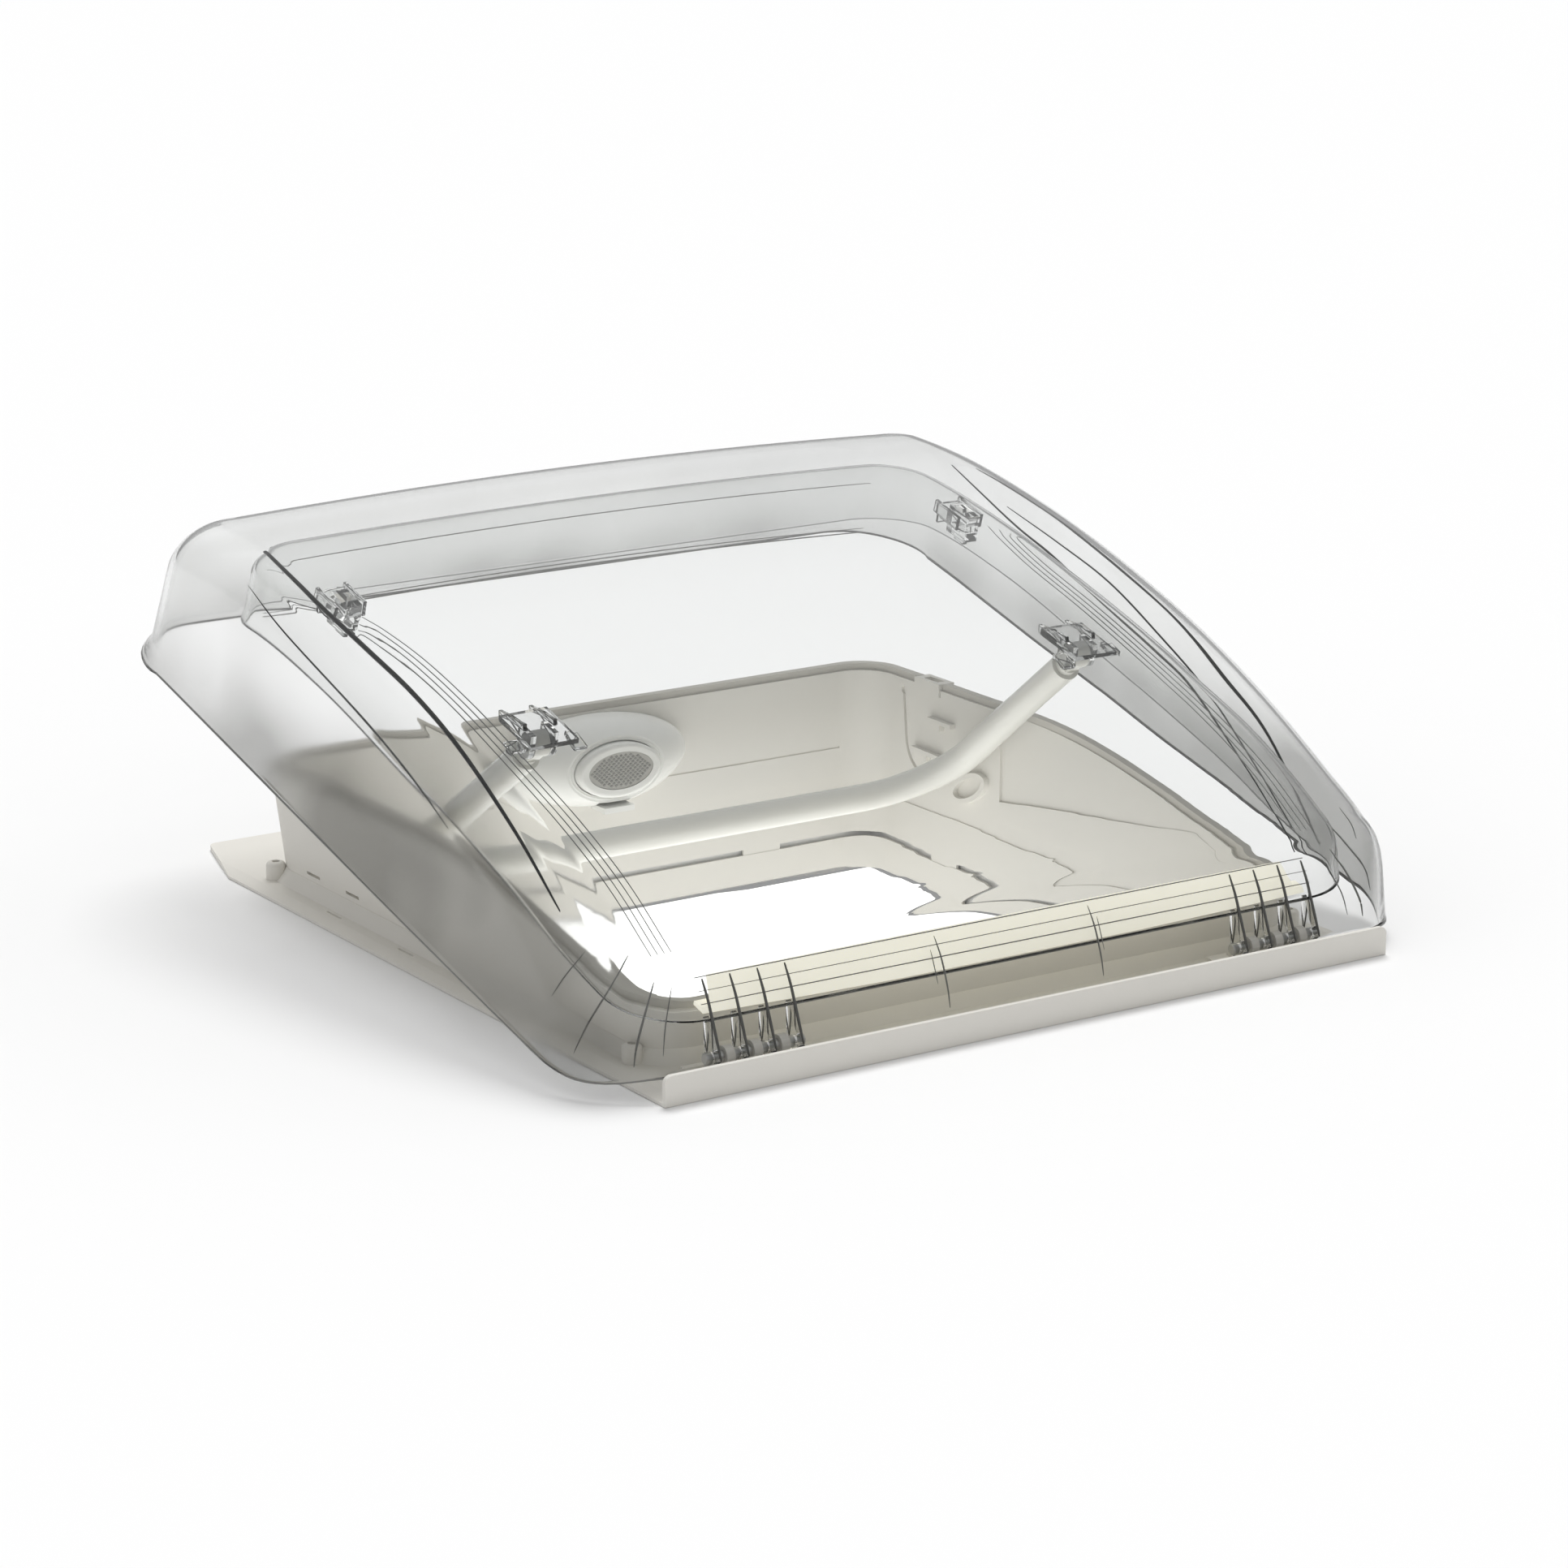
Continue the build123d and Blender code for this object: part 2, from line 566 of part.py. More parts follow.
with BuildPart() as lid_shelf:
    with Locations((0, 20, SHELF_Z + SHELF_THICKNESS / 2)):
        Box(2 * LID_HALF_WIDTH + 40, 640, SHELF_THICKNESS)
    add(LID_ROOM, mode=Mode.INTERSECT)
    add(PANE_SEAT, mode=Mode.SUBTRACT)
save_open(lid_shelf, "lid_shelf")

with BuildPart() as front_strip:
    with BuildSketch(Plane.YZ):
        with BuildLine():
            Polyline(
                (-226, 31.5),
                (-211, 31.5),
                (-211, 33.7),
                (-217.6, 33.7),
                (-205.5, 44),
                (-208, 46.5),
                (-226, 46.5),
                close=True,
            )
        make_face()
    extrude(amount=STRIP_HALF_LENGTH, both=True)
    add(PANE_ROOM, mode=Mode.INTERSECT)
save_open(front_strip, "front_strip")

# ---------------------------------------------------------------- bow brackets and rear claws, closed

for side, word in ((-1, "left"), (1, "right")):
    pivot_x = side * PIVOT_X
    with BuildPart() as bow_bracket:
        for ear_x in (pivot_x - EYE_WIDTH / 2 - EAR_GAP - EAR_WALL, pivot_x + EYE_WIDTH / 2 + EAR_GAP):
            with BuildSketch(Plane.YZ.offset(ear_x)):
                with Locations((PIVOT_CLOSED_Y, PIVOT_CLOSED_Z)):
                    Circle(EAR_R)
                with Locations((PIVOT_CLOSED_Y, PIVOT_CLOSED_Z + 10)):
                    Rectangle(2 * EAR_R, 20)
            extrude(amount=EAR_WALL)
        with Locations((pivot_x, PIVOT_CLOSED_Y, PIVOT_CLOSED_Z + EYE_R + 0.8)):
            Box(*BRACKET_PLATE, align=(Align.CENTER, Align.CENTER, Align.MIN))
        add(PANE_ROOM, mode=Mode.INTERSECT)
        with Locations(Location((pivot_x, PIVOT_CLOSED_Y, PIVOT_CLOSED_Z), (0, 90, 0))):
            Cylinder(BOW_PIN_R, 60, mode=Mode.SUBTRACT)
    save_open(bow_bracket, f"bow_bracket_{word}")

    with BuildPart() as bow_pin:
        pin_half = EYE_WIDTH / 2 + EAR_GAP + EAR_WALL
        with BuildSketch(Plane.YZ.offset(pivot_x - side * pin_half)):
            with Locations((PIVOT_CLOSED_Y, PIVOT_CLOSED_Z)):
                Circle(BOW_PIN_R)
        extrude(amount=side * (2 * pin_half + 1.5))
        with BuildSketch(Plane.YZ.offset(pivot_x - side * pin_half)):
            with Locations((PIVOT_CLOSED_Y, PIVOT_CLOSED_Z)):
                Circle(BOW_PIN_HEAD_R)
        extrude(amount=-side * 1.8)
    save_open(bow_pin, f"bow_pin_{word}")

    with BuildPart() as rear_claw:
        with Locations((side * CLAW_X, CLAW_Y, COLLAR_HIGH_Z + 5)):
            Box(9, 18, 40, align=(Align.CENTER, Align.CENTER, Align.MIN))
        add(PANE_ROOM, mode=Mode.INTERSECT)
        with Locations((side * CLAW_X, CLAW_Y, COLLAR_HIGH_Z + 5)):
            Box(3, 9, 3.5, align=(Align.CENTER, Align.CENTER, Align.MAX))
        with Locations((side * CLAW_X, CLAW_Y, COLLAR_HIGH_Z + 9)):
            Box(9, 6, 4, align=(Align.CENTER, Align.CENTER, Align.MIN), mode=Mode.SUBTRACT)
    save_open(rear_claw, f"rear_claw_{word}")

# ---------------------------------------------------------------- bow, at rest


def arm_start(side):
    """Pivot point and unit direction of one arm of the bow."""
    pivot = Vector(side * PIVOT_X, PIVOT_Y, PIVOT_Z)
    corner = Vector(side * BOW_CORNER_X, BOW_CORNER_Y, BOW_CORNER_Z)
    return pivot, (corner - pivot).normalized(), corner


left_pivot, left_direction, left_corner = arm_start(-1)
right_pivot, right_direction, right_corner = arm_start(1)
with BuildPart() as bow_tube:
    with BuildLine() as bow_line:
        FilletPolyline(
            left_pivot + left_direction * TUBE_START,
            left_corner,
            right_corner,
            right_pivot + right_direction * TUBE_START,
            radius=BOW_BEND_R,
        )
    with BuildSketch(Plane(origin=bow_line.line @ 0, z_dir=bow_line.line % 0)):
        Circle(BOW_R)
        Circle(BOW_BORE_R, mode=Mode.SUBTRACT)
    sweep()
    slot_turn = BOW_REST_ANGLE - BOW_CLOSED_ANGLE
    with Locations(Location((0, BOW_CORNER_Y, BOW_CORNER_Z), (slot_turn, 0, 0)) * Location((0, BOW_R, 2))):
        Box(KEEPER_LENGTH, 6, KEEPER_HEIGHT, mode=Mode.SUBTRACT)
save(bow_tube, "bow_tube")

for side, word in ((-1, "left"), (1, "right")):
    pivot, direction, corner = arm_start(side)
    with BuildPart() as bow_eye:
        with Locations(Location(pivot, (0, 90, 0))):
            Cylinder(EYE_R, EYE_WIDTH)
        with BuildSketch(Plane(origin=pivot, x_dir=(1, 0, 0), z_dir=direction)):
            Rectangle(EYE_WIDTH, 10)
        extrude(amount=9)
        with BuildSketch(Plane(origin=pivot + direction * 9, z_dir=direction)):
            Circle(BOW_BORE_R)
        extrude(amount=24)
        with Locations(Location(pivot, (0, 90, 0))):
            Cylinder(BOW_PIN_R + RUNNING_GAP, 40, mode=Mode.SUBTRACT)
    save(bow_eye, f"bow_eye_{word}")

# ---------------------------------------------------------------- button in its housing


def oval_form(sections):
    """Loft through level ovals on the back wall: each section is its Y and its two half axes."""
    with BuildPart() as form:
        for y, half_x, half_z in sections:
            with BuildSketch(Plane.XZ.offset(-y)):
                with Locations((0, HOUSING_Z)):
                    Ellipse(half_x, half_z)
        loft()
    return form.part


with BuildPart() as lock_housing:
    add(oval_form(HOUSING_SECTIONS))
    add(oval_form(HOUSING_HOLLOW), mode=Mode.SUBTRACT)
    with BuildSketch(Plane.XZ.offset(-INNER_FACE)):
        with Locations((0, HOUSING_Z)):
            Ellipse(BUTTON_HALF[0] + BUTTON_GAP, BUTTON_HALF[1] + BUTTON_GAP)
    extrude(amount=60, mode=Mode.SUBTRACT)
    with Locations((0, 172, TONGUE_Z + 0.5)):
        Box(TONGUE_WIDTH + 1.4, 40, TONGUE_THICKNESS + 3.6, mode=Mode.SUBTRACT)
save(lock_housing, "lock_housing")

button_front = HOUSING_FRONT_Y - BUTTON_PROUD
button_back = button_front + BUTTON_DEPTH
with BuildPart() as push_button:
    with BuildSketch(Plane.XZ.offset(-button_back)):
        with Locations((0, HOUSING_Z)):
            Ellipse(*BUTTON_HALF)
    extrude(amount=BUTTON_DEPTH)
    fillet(push_button.edges().sort_by(Axis.Y)[0], 2.5)
    with BuildSketch(Plane.XZ.offset(-button_front)):
        with Locations((0, HOUSING_Z)):
            Ellipse(PAD_HALF[0], PAD_HALF[1])
    extrude(amount=-PAD_RECESS, mode=Mode.SUBTRACT)
save(push_button, "push_button")

with BuildPart() as button_pad:
    with BuildSketch(Plane.XZ.offset(-button_front - PAD_RECESS)):
        with Locations((0, HOUSING_Z)):
            Ellipse(PAD_HALF[0] - 0.2, PAD_HALF[1] - 0.2)
    extrude(amount=PAD_THICKNESS)
save(button_pad, "button_pad")

with BuildPart() as latch_tongue:
    with Locations((0, TONGUE_TIP_Y, TONGUE_Z)):
        Box(TONGUE_WIDTH, button_back + 3 - TONGUE_TIP_Y, TONGUE_THICKNESS, align=ROOTED_Y)
    with Locations((0, button_back, TONGUE_Z)):
        Box(TONGUE_WIDTH, 3, 12, align=(Align.CENTER, Align.MIN, Align.MIN))
save(latch_tongue, "latch_tongue")

with BuildPart() as button_spring:
    spring_start = button_back + 2 * SPRING_WIRE_R
    spring_length = INNER_FACE - BUTTON_TRAVEL - 2 * SPRING_WIRE_R - spring_start
    with BuildLine() as coil:
        Helix(
            SPRING_PITCH,
            spring_length,
            SPRING_R,
            center=(0, spring_start, HOUSING_Z + 2),
            direction=(0, 1, 0),
        )
    with BuildSketch(Plane(origin=coil.line @ 0, z_dir=coil.line % 0)):
        Circle(SPRING_WIRE_R)
    sweep()
save(button_spring, "button_spring")
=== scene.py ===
"""A hinged roof vent: a clear double-walled lid, a cream wedge-shaped frame, a prop bow and a push button.

Lengths inside the classes are millimetres, in the frame of the CAD model. The lid's own sizes are given
for the closed lid, and every lid piece is turned open about the hinge at the end. Meshes are written
in metres.
"""

from dataclasses import dataclass, field, replace
from enum import Enum
import json
import logging
import math

import bmesh
import bpy
import numpy as np
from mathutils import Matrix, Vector


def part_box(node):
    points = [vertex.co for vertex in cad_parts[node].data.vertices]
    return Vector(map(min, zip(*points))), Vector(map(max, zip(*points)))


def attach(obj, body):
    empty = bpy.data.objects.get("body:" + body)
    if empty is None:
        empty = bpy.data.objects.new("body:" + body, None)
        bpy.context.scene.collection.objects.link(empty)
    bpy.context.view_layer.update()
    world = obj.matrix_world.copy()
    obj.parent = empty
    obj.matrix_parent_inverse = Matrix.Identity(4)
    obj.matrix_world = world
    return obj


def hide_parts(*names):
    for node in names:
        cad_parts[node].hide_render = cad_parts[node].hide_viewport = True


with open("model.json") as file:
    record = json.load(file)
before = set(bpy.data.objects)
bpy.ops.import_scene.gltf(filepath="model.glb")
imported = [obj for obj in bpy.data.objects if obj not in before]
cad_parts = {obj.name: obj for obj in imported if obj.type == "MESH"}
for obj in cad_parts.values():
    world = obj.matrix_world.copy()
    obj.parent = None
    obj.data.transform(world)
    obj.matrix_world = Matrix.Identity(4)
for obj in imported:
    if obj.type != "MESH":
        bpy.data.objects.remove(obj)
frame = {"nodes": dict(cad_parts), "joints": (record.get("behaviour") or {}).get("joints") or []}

logging.basicConfig(level=logging.INFO, format="%(message)s")
log = logging.getLogger("roof_vent")

MM = 0.001
Faces = list[tuple[int, ...]]
Form = tuple[np.ndarray, Faces]
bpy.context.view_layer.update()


class Body(Enum):
    """The moving bodies of the vent."""

    FRAME = "frame"
    LID = "lid"
    BOW = "bow"
    BUTTON = "button"


# ---------------------------------------------------------------- small helpers


def smooth_step(low: float, high: float, value: np.ndarray) -> np.ndarray:
    """Smooth ramp from 0 at low to 1 at high.

    Args:
        low: Where the ramp starts.
        high: Where the ramp ends.
        value: The values to ramp.

    Returns:
        The ramp at each value.
    """
    t = np.clip((value - low) / (high - low), 0.0, 1.0)
    return t * t * (3.0 - 2.0 * t)


@dataclass(frozen=True)
class Profile:
    """A smooth curve through a few points, whose ends keep the slope of their own span."""

    knots: tuple[tuple[float, float], ...]

    def __call__(self, at: np.ndarray) -> np.ndarray:
        """Height of the curve.

        Args:
            at: Positions along the curve's base.

        Returns:
            The curve's height at each position.
        """
        xs, ys = (np.array(part, float) for part in zip(*self.knots))
        steps = np.diff(ys) / np.diff(xs)
        slopes = np.empty_like(xs)
        slopes[1:-1] = (steps[:-1] * np.diff(xs)[1:] + steps[1:] * np.diff(xs)[:-1]) / (xs[2:] - xs[:-2])
        slopes[0], slopes[-1] = steps[0], steps[-1]
        place = np.clip(np.asarray(at, float), xs[0], xs[-1])
        i = np.clip(np.searchsorted(xs, place, side="right") - 1, 0, len(xs) - 2)
        width = xs[i + 1] - xs[i]
        t = (place - xs[i]) / width
        return (
            (2 * t**3 - 3 * t**2 + 1) * ys[i]
            + (t**3 - 2 * t**2 + t) * width * slopes[i]
            + (3 * t**2 - 2 * t**3) * ys[i + 1]
            + (t**3 - t**2) * width * slopes[i + 1]
        )


@dataclass(frozen=True)
class Hinge:
    """The lid's hinge line and how far the lid stands open at rest."""

    y: float
    z: float
    opening: float

    @classmethod
    def from_frame(cls) -> "Hinge":
        """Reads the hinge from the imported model's joint."""
        joint = next(j for j in frame["joints"] if j["name"] == "lid_hinge")
        return cls(joint["pos_m"][1] / MM, joint["pos_m"][2] / MM, -joint["range_deg"][0])

    def turned_open(self, points: np.ndarray) -> np.ndarray:
        """Turns points of the closed lid to its place at rest.

        Args:
            points: N by 3 points in millimetres, closed.

        Returns:
            The same points with the lid open.
        """
        angle = math.radians(self.opening)
        out = np.array(points, float)
        dy, dz = out[:, 1] - self.y, out[:, 2] - self.z
        out[:, 1] = self.y + dy * math.cos(angle) - dz * math.sin(angle)
        out[:, 2] = self.z + dy * math.sin(angle) + dz * math.cos(angle)
        return out


HINGE = Hinge.from_frame()


def mesh_piece(
    name: str,
    points: np.ndarray,
    faces: Faces,
    material: bpy.types.Material,
    body: Body,
    smooth: bool = True,
    replaces: tuple[str, ...] = (),
) -> bpy.types.Object:
    """Makes one finished piece from points in millimetres, and hands it to the frame.

    Args:
        name: The piece's name.
        points: N by 3 points in millimetres.
        faces: Corner indices of each face.
        material: The finish.
        body: The body that it rides on.
        smooth: Whether it is shaded smooth.
        replaces: CAD nodes that it stands for.

    Returns:
        The new object.
    """
    mesh = bpy.data.meshes.new(name)
    mesh.from_pydata((np.asarray(points, float) * MM).tolist(), [], faces)
    mesh.validate()
    if smooth:
        mesh.shade_smooth()
    else:
        mesh.shade_flat()
    mesh.materials.append(material)
    piece = bpy.data.objects.new(name, mesh)
    bpy.context.scene.collection.objects.link(piece)
    return hand_over(piece, body, replaces)


def hand_over(
    piece: bpy.types.Object, body: Body, replaces: tuple[str, ...] = ()
) -> bpy.types.Object:
    """Hangs a finished piece on its body, and hides the CAD nodes that it stands for.

    Args:
        piece: The finished piece.
        body: The body that it rides on.
        replaces: CAD nodes that it stands for.

    Returns:
        The same piece.
    """
    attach(piece, body.value)
    if replaces:
        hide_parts(*replaces)
    log.info("%s rides on %s, %d faces", piece.name, body.value, len(piece.data.polygons))
    return piece


def link(tree: bpy.types.NodeTree, source: bpy.types.NodeSocket, target: bpy.types.NodeSocket) -> None:
    """Joins two sockets of one node tree."""
    tree.links.new(source, target)


@dataclass(frozen=True)
class Thread:
    """A thin round strip along a smooth curve, thinner towards its ends."""

    knots: tuple[tuple[float, float, float], ...]
    radius: float
    thin: float = 0.3
    steps: int = 8
    sides: int = 8
    closed: bool = False

    def mirrored(self) -> "Thread":
        """The same strip on the other side of the vent."""
        return replace(self, knots=tuple((-x, y, z) for x, y, z in self.knots))

    def spine(self) -> np.ndarray:
        """Points of a smooth curve through the knots."""
        knots = np.array(self.knots, float)
        before = knots[-1:] if self.closed else 2 * knots[:1] - knots[1:2]
        after = knots[:2] if self.closed else 2 * knots[-1:] - knots[-2:-1]
        padded = np.concatenate((before, knots, after))
        t = np.linspace(0, 1, self.steps, endpoint=False)[:, None]
        spans = []
        for a, b, c, d in zip(padded, padded[1:], padded[2:], padded[3:]):
            square, cube = 2 * a - 5 * b + 4 * c - d, 3 * b - a - 3 * c + d
            spans.append(0.5 * (2 * b + (c - a) * t + square * t**2 + cube * t**3))
        points = np.concatenate(spans)
        return points if self.closed else np.concatenate((points, knots[-1:]))

    def build(self) -> Form:
        """Builds the strip, with closed ends.

        Returns:
            The points and the faces.
        """
        spine = self.spine()
        count = len(spine)
        if self.closed:
            way = np.roll(spine, -1, axis=0) - np.roll(spine, 1, axis=0)
            radii = np.full(count, self.radius)
        else:
            way = np.gradient(spine, axis=0)
            share = np.linspace(0, 1, count)
            radii = self.radius * (self.thin + (1 - self.thin) * np.sin(np.pi * share) ** 0.6)
        way /= np.linalg.norm(way, axis=1)[:, None]
        up = np.where(np.abs(way[:, 2:]) > 0.9, np.array([[0.0, 1.0, 0.0]]), np.array([[0.0, 0.0, 1.0]]))
        across = np.cross(way, up)
        across /= np.linalg.norm(across, axis=1)[:, None]
        over = np.cross(across, way)
        turn = np.linspace(0, 2 * np.pi, self.sides, endpoint=False)
        rings = spine[:, None] + radii[:, None, None] * (
            np.cos(turn)[None, :, None] * across[:, None] + np.sin(turn)[None, :, None] * over[:, None]
        )
        faces = []
        for i in range(count if self.closed else count - 1):
            for k in range(self.sides):
                a, b = i * self.sides + k, i * self.sides + (k + 1) % self.sides
                shift = ((i + 1) % count - i) * self.sides
                faces.append((b, a, a + shift, b + shift))
        if not self.closed:
            last = (count - 1) * self.sides
            faces.append(tuple(range(self.sides)))
            faces.append(tuple(range(last + self.sides - 1, last - 1, -1)))
        return rings.reshape(-1, 3), faces


def joined(forms: list[Form]) -> Form:
    """Joins several forms into one.

    Args:
        forms: The points and the faces of each form.

    Returns:
        The points and the faces of them all.
    """
    points, faces, start = [], [], 0
    for spots, shape in forms:
        points.append(spots)
        faces += [tuple(start + i for i in face) for face in shape]
        start += len(spots)
    return np.concatenate(points), faces


def lid_piece(name: str, forms: list[Form], material: bpy.types.Material, smooth: bool = True) -> None:
    """Joins forms drawn on the closed lid into one clear-lid piece, turned open.

    Args:
        name: The piece's name.
        forms: The points and the faces of each form.
        material: The finish.
        smooth: Whether it is shaded smooth.
    """
    points, faces = joined(forms)
    mesh_piece(name, HINGE.turned_open(points), faces, material, Body.LID, smooth)


def lid_threads(name: str, threads: list[Thread], material: bpy.types.Material) -> None:
    """Joins strips drawn on the closed lid into one piece, turned open."""
    lid_piece(name, [thread.build() for thread in threads], material)


def plate(
    centre: tuple[float, float, float], size: tuple[float, float, float], turn: float, bevel: float = 0.5
) -> Form:
    """A flat plate with bevelled edges, turned about X.

    Args:
        centre: Its centre.
        size: Its three sides.
        turn: Its turn about X, in degrees.
        bevel: The bevel's width.

    Returns:
        The points and the faces.
    """
    cell = bmesh.new()
    bmesh.ops.create_cube(cell, size=1.0)
    for vertex in cell.verts:
        vertex.co = Vector((vertex.co.x * size[0], vertex.co.y * size[1], vertex.co.z * size[2]))
    bmesh.ops.bevel(cell, geom=cell.edges[:], offset=bevel, segments=2, affect="EDGES", profile=0.5)
    cell.verts.index_update()
    c, s = math.cos(math.radians(turn)), math.sin(math.radians(turn))
    points = np.array([vertex.co[:] for vertex in cell.verts])
    faces = [tuple(vertex.index for vertex in face.verts) for face in cell.faces]
    cell.free()
    y, z = points[:, 1].copy(), points[:, 2].copy()
    points[:, 1], points[:, 2] = y * c - z * s, y * s + z * c
    return points + np.array(centre), faces


def repeated(form: Form, places: np.ndarray, material: bpy.types.Material) -> Form:
    """Repeats a form at many places with a node tree.

    Args:
        form: The form's points and faces.
        places: Where its copies go.
        material: The finish that the tree sets.

    Returns:
        The joined copies' points and faces.
    """
    seed_mesh, host_mesh = bpy.data.meshes.new("seed"), bpy.data.meshes.new("host")
    seed_mesh.from_pydata(form[0].tolist(), [], form[1])
    host_mesh.from_pydata(places.tolist(), [], [])
    seed = bpy.data.objects.new("seed", seed_mesh)
    host = bpy.data.objects.new("host", host_mesh)
    for item in (seed, host):
        bpy.context.scene.collection.objects.link(item)
    tree = bpy.data.node_groups.new("repeat", "GeometryNodeTree")
    face = tree.interface
    face.new_socket("Geometry", in_out="INPUT", socket_type="NodeSocketGeometry")
    given_form = face.new_socket("Form", in_out="INPUT", socket_type="NodeSocketObject")
    given_coat = face.new_socket("Finish", in_out="INPUT", socket_type="NodeSocketMaterial")
    face.new_socket("Geometry", in_out="OUTPUT", socket_type="NodeSocketGeometry")
    start, end = tree.nodes.new("NodeGroupInput"), tree.nodes.new("NodeGroupOutput")
    info = tree.nodes.new("GeometryNodeObjectInfo")
    spread = tree.nodes.new("GeometryNodeInstanceOnPoints")
    real = tree.nodes.new("GeometryNodeRealizeInstances")
    paint = tree.nodes.new("GeometryNodeSetMaterial")
    link(tree, start.outputs["Geometry"], spread.inputs["Points"])
    link(tree, start.outputs["Form"], info.inputs["Object"])
    link(tree, info.outputs["Geometry"], spread.inputs["Instance"])
    link(tree, spread.outputs["Instances"], real.inputs["Geometry"])
    link(tree, real.outputs["Geometry"], paint.inputs["Geometry"])
    link(tree, start.outputs["Finish"], paint.inputs["Material"])
    link(tree, paint.outputs["Geometry"], end.inputs["Geometry"])
    modifier = host.modifiers.new("repeat", "NODES")
    modifier.node_group = tree
    modifier[given_form.identifier] = seed
    modifier[given_coat.identifier] = material
    bpy.context.view_layer.update()
    mesh = bpy.data.meshes.new_from_object(host.evaluated_get(bpy.context.evaluated_depsgraph_get()))
    host.modifiers.remove(modifier)
    points = np.array([vertex.co[:] for vertex in mesh.vertices])
    faces = [tuple(polygon.vertices) for polygon in mesh.polygons]
    for item in (seed, host):
        bpy.data.objects.remove(item)
    bpy.data.meshes.remove(mesh)
    return points, faces


# ---------------------------------------------------------------- finishes


def set_inputs(node: bpy.types.Node, values: dict) -> None:
    """Sets some of a node's inputs, given by name or by place."""
    for label, value in values.items():
        node.inputs[label].default_value = value


def new_node(tree: bpy.types.NodeTree, kind: str, values: dict | None = None, **traits) -> bpy.types.Node:
    """Adds a node to a tree.

    Args:
        tree: The node tree.
        kind: The node's type.
        values: Values of its inputs, by name or by place.
        traits: The node's own settings, which are made before its inputs are set.

    Returns:
        The new node.
    """
    node = tree.nodes.new(kind)
    for trait, choice in traits.items():
        setattr(node, trait, choice)
    set_inputs(node, values or {})
    return node


def uneven_gloss(
    tree: bpy.types.NodeTree, shader: bpy.types.Node, scale: float, least: float, most: float
) -> None:
    """Lets a shader's roughness wander between two values.

    Args:
        tree: The material's node tree.
        shader: Its main shader.
        scale: Scale of the noise.
        least: The roughness where the noise is 0.
        most: The roughness where the noise is 1.
    """
    place = new_node(tree, "ShaderNodeTexCoord")
    noise = new_node(tree, "ShaderNodeTexNoise", {"Scale": scale})
    rough = new_node(tree, "ShaderNodeMapRange", {"To Min": least, "To Max": most})
    link(tree, place.outputs["Object"], noise.inputs["Vector"])
    link(tree, noise.outputs["Fac"], rough.inputs["Value"])
    link(tree, rough.outputs["Result"], shader.inputs["Roughness"])


def moulded_grain_group() -> bpy.types.NodeTree:
    """Shader group for fine moulded plastic: a mottle of the colour, a roughness and a bump height.

    Returns:
        The node group, with inputs Color, Roughness, Grain and Mottle.
    """
    name = "moulded_grain"
    if name in bpy.data.node_groups:
        return bpy.data.node_groups[name]
    group = bpy.data.node_groups.new(name, "ShaderNodeTree")
    face = group.interface
    face.new_socket("Color", in_out="INPUT", socket_type="NodeSocketColor")
    for label, value in (("Roughness", 0.4), ("Grain", 900.0), ("Mottle", 0.03)):
        socket = face.new_socket(label, in_out="INPUT", socket_type="NodeSocketFloat")
        socket.default_value = value
    face.new_socket("Color", in_out="OUTPUT", socket_type="NodeSocketColor")
    face.new_socket("Roughness", in_out="OUTPUT", socket_type="NodeSocketFloat")
    face.new_socket("Height", in_out="OUTPUT", socket_type="NodeSocketFloat")
    given = new_node(group, "NodeGroupInput")
    result = new_node(group, "NodeGroupOutput")
    place = new_node(group, "ShaderNodeTexCoord")
    fine = new_node(group, "ShaderNodeTexNoise", {"Detail": 3.0})
    broad = new_node(group, "ShaderNodeTexNoise", {"Scale": 9.0, "Detail": 4.0})
    centred = new_node(group, "ShaderNodeMath", {1: 0.5}, operation="SUBTRACT")
    shade = new_node(group, "ShaderNodeMath", {2: 1.0}, operation="MULTIPLY_ADD")
    tone = new_node(group, "ShaderNodeMix", {"Factor": 1.0}, data_type="RGBA", blend_type="MULTIPLY")
    rough = new_node(group, "ShaderNodeMath", {1: 0.08}, operation="MULTIPLY_ADD")
    link(group, place.outputs["Object"], fine.inputs["Vector"])
    link(group, place.outputs["Object"], broad.inputs["Vector"])
    link(group, given.outputs["Grain"], fine.inputs["Scale"])
    link(group, broad.outputs["Fac"], centred.inputs[0])
    link(group, centred.outputs[0], shade.inputs[0])
    link(group, given.outputs["Mottle"], shade.inputs[1])
    link(group, given.outputs["Color"], tone.inputs["A"])
    link(group, shade.outputs[0], tone.inputs["B"])
    link(group, fine.outputs["Fac"], rough.inputs[0])
    link(group, given.outputs["Roughness"], rough.inputs[2])
    link(group, tone.outputs["Result"], result.inputs["Color"])
    link(group, rough.outputs[0], result.inputs["Roughness"])
    link(group, fine.outputs["Fac"], result.inputs["Height"])
    return group


@dataclass(frozen=True)
class Finish:
    """A finish whose material is built once, when it is first asked for."""

    name: str

    def build(self) -> bpy.types.Material:
        """Builds the material once.

        Returns:
            The material.
        """
        if self.name in bpy.data.materials:
            return bpy.data.materials[self.name]
        material = bpy.data.materials.new(self.name)
        material.use_nodes = True
        tree = material.node_tree
        self.shade(tree, tree.nodes["Principled BSDF"])
        return material

    def shade(self, tree: bpy.types.NodeTree, shader: bpy.types.Node) -> None:
        """Sets up the nodes of the finish.

        Args:
            tree: The material's node tree.
            shader: Its main shader.
        """
        raise NotImplementedError


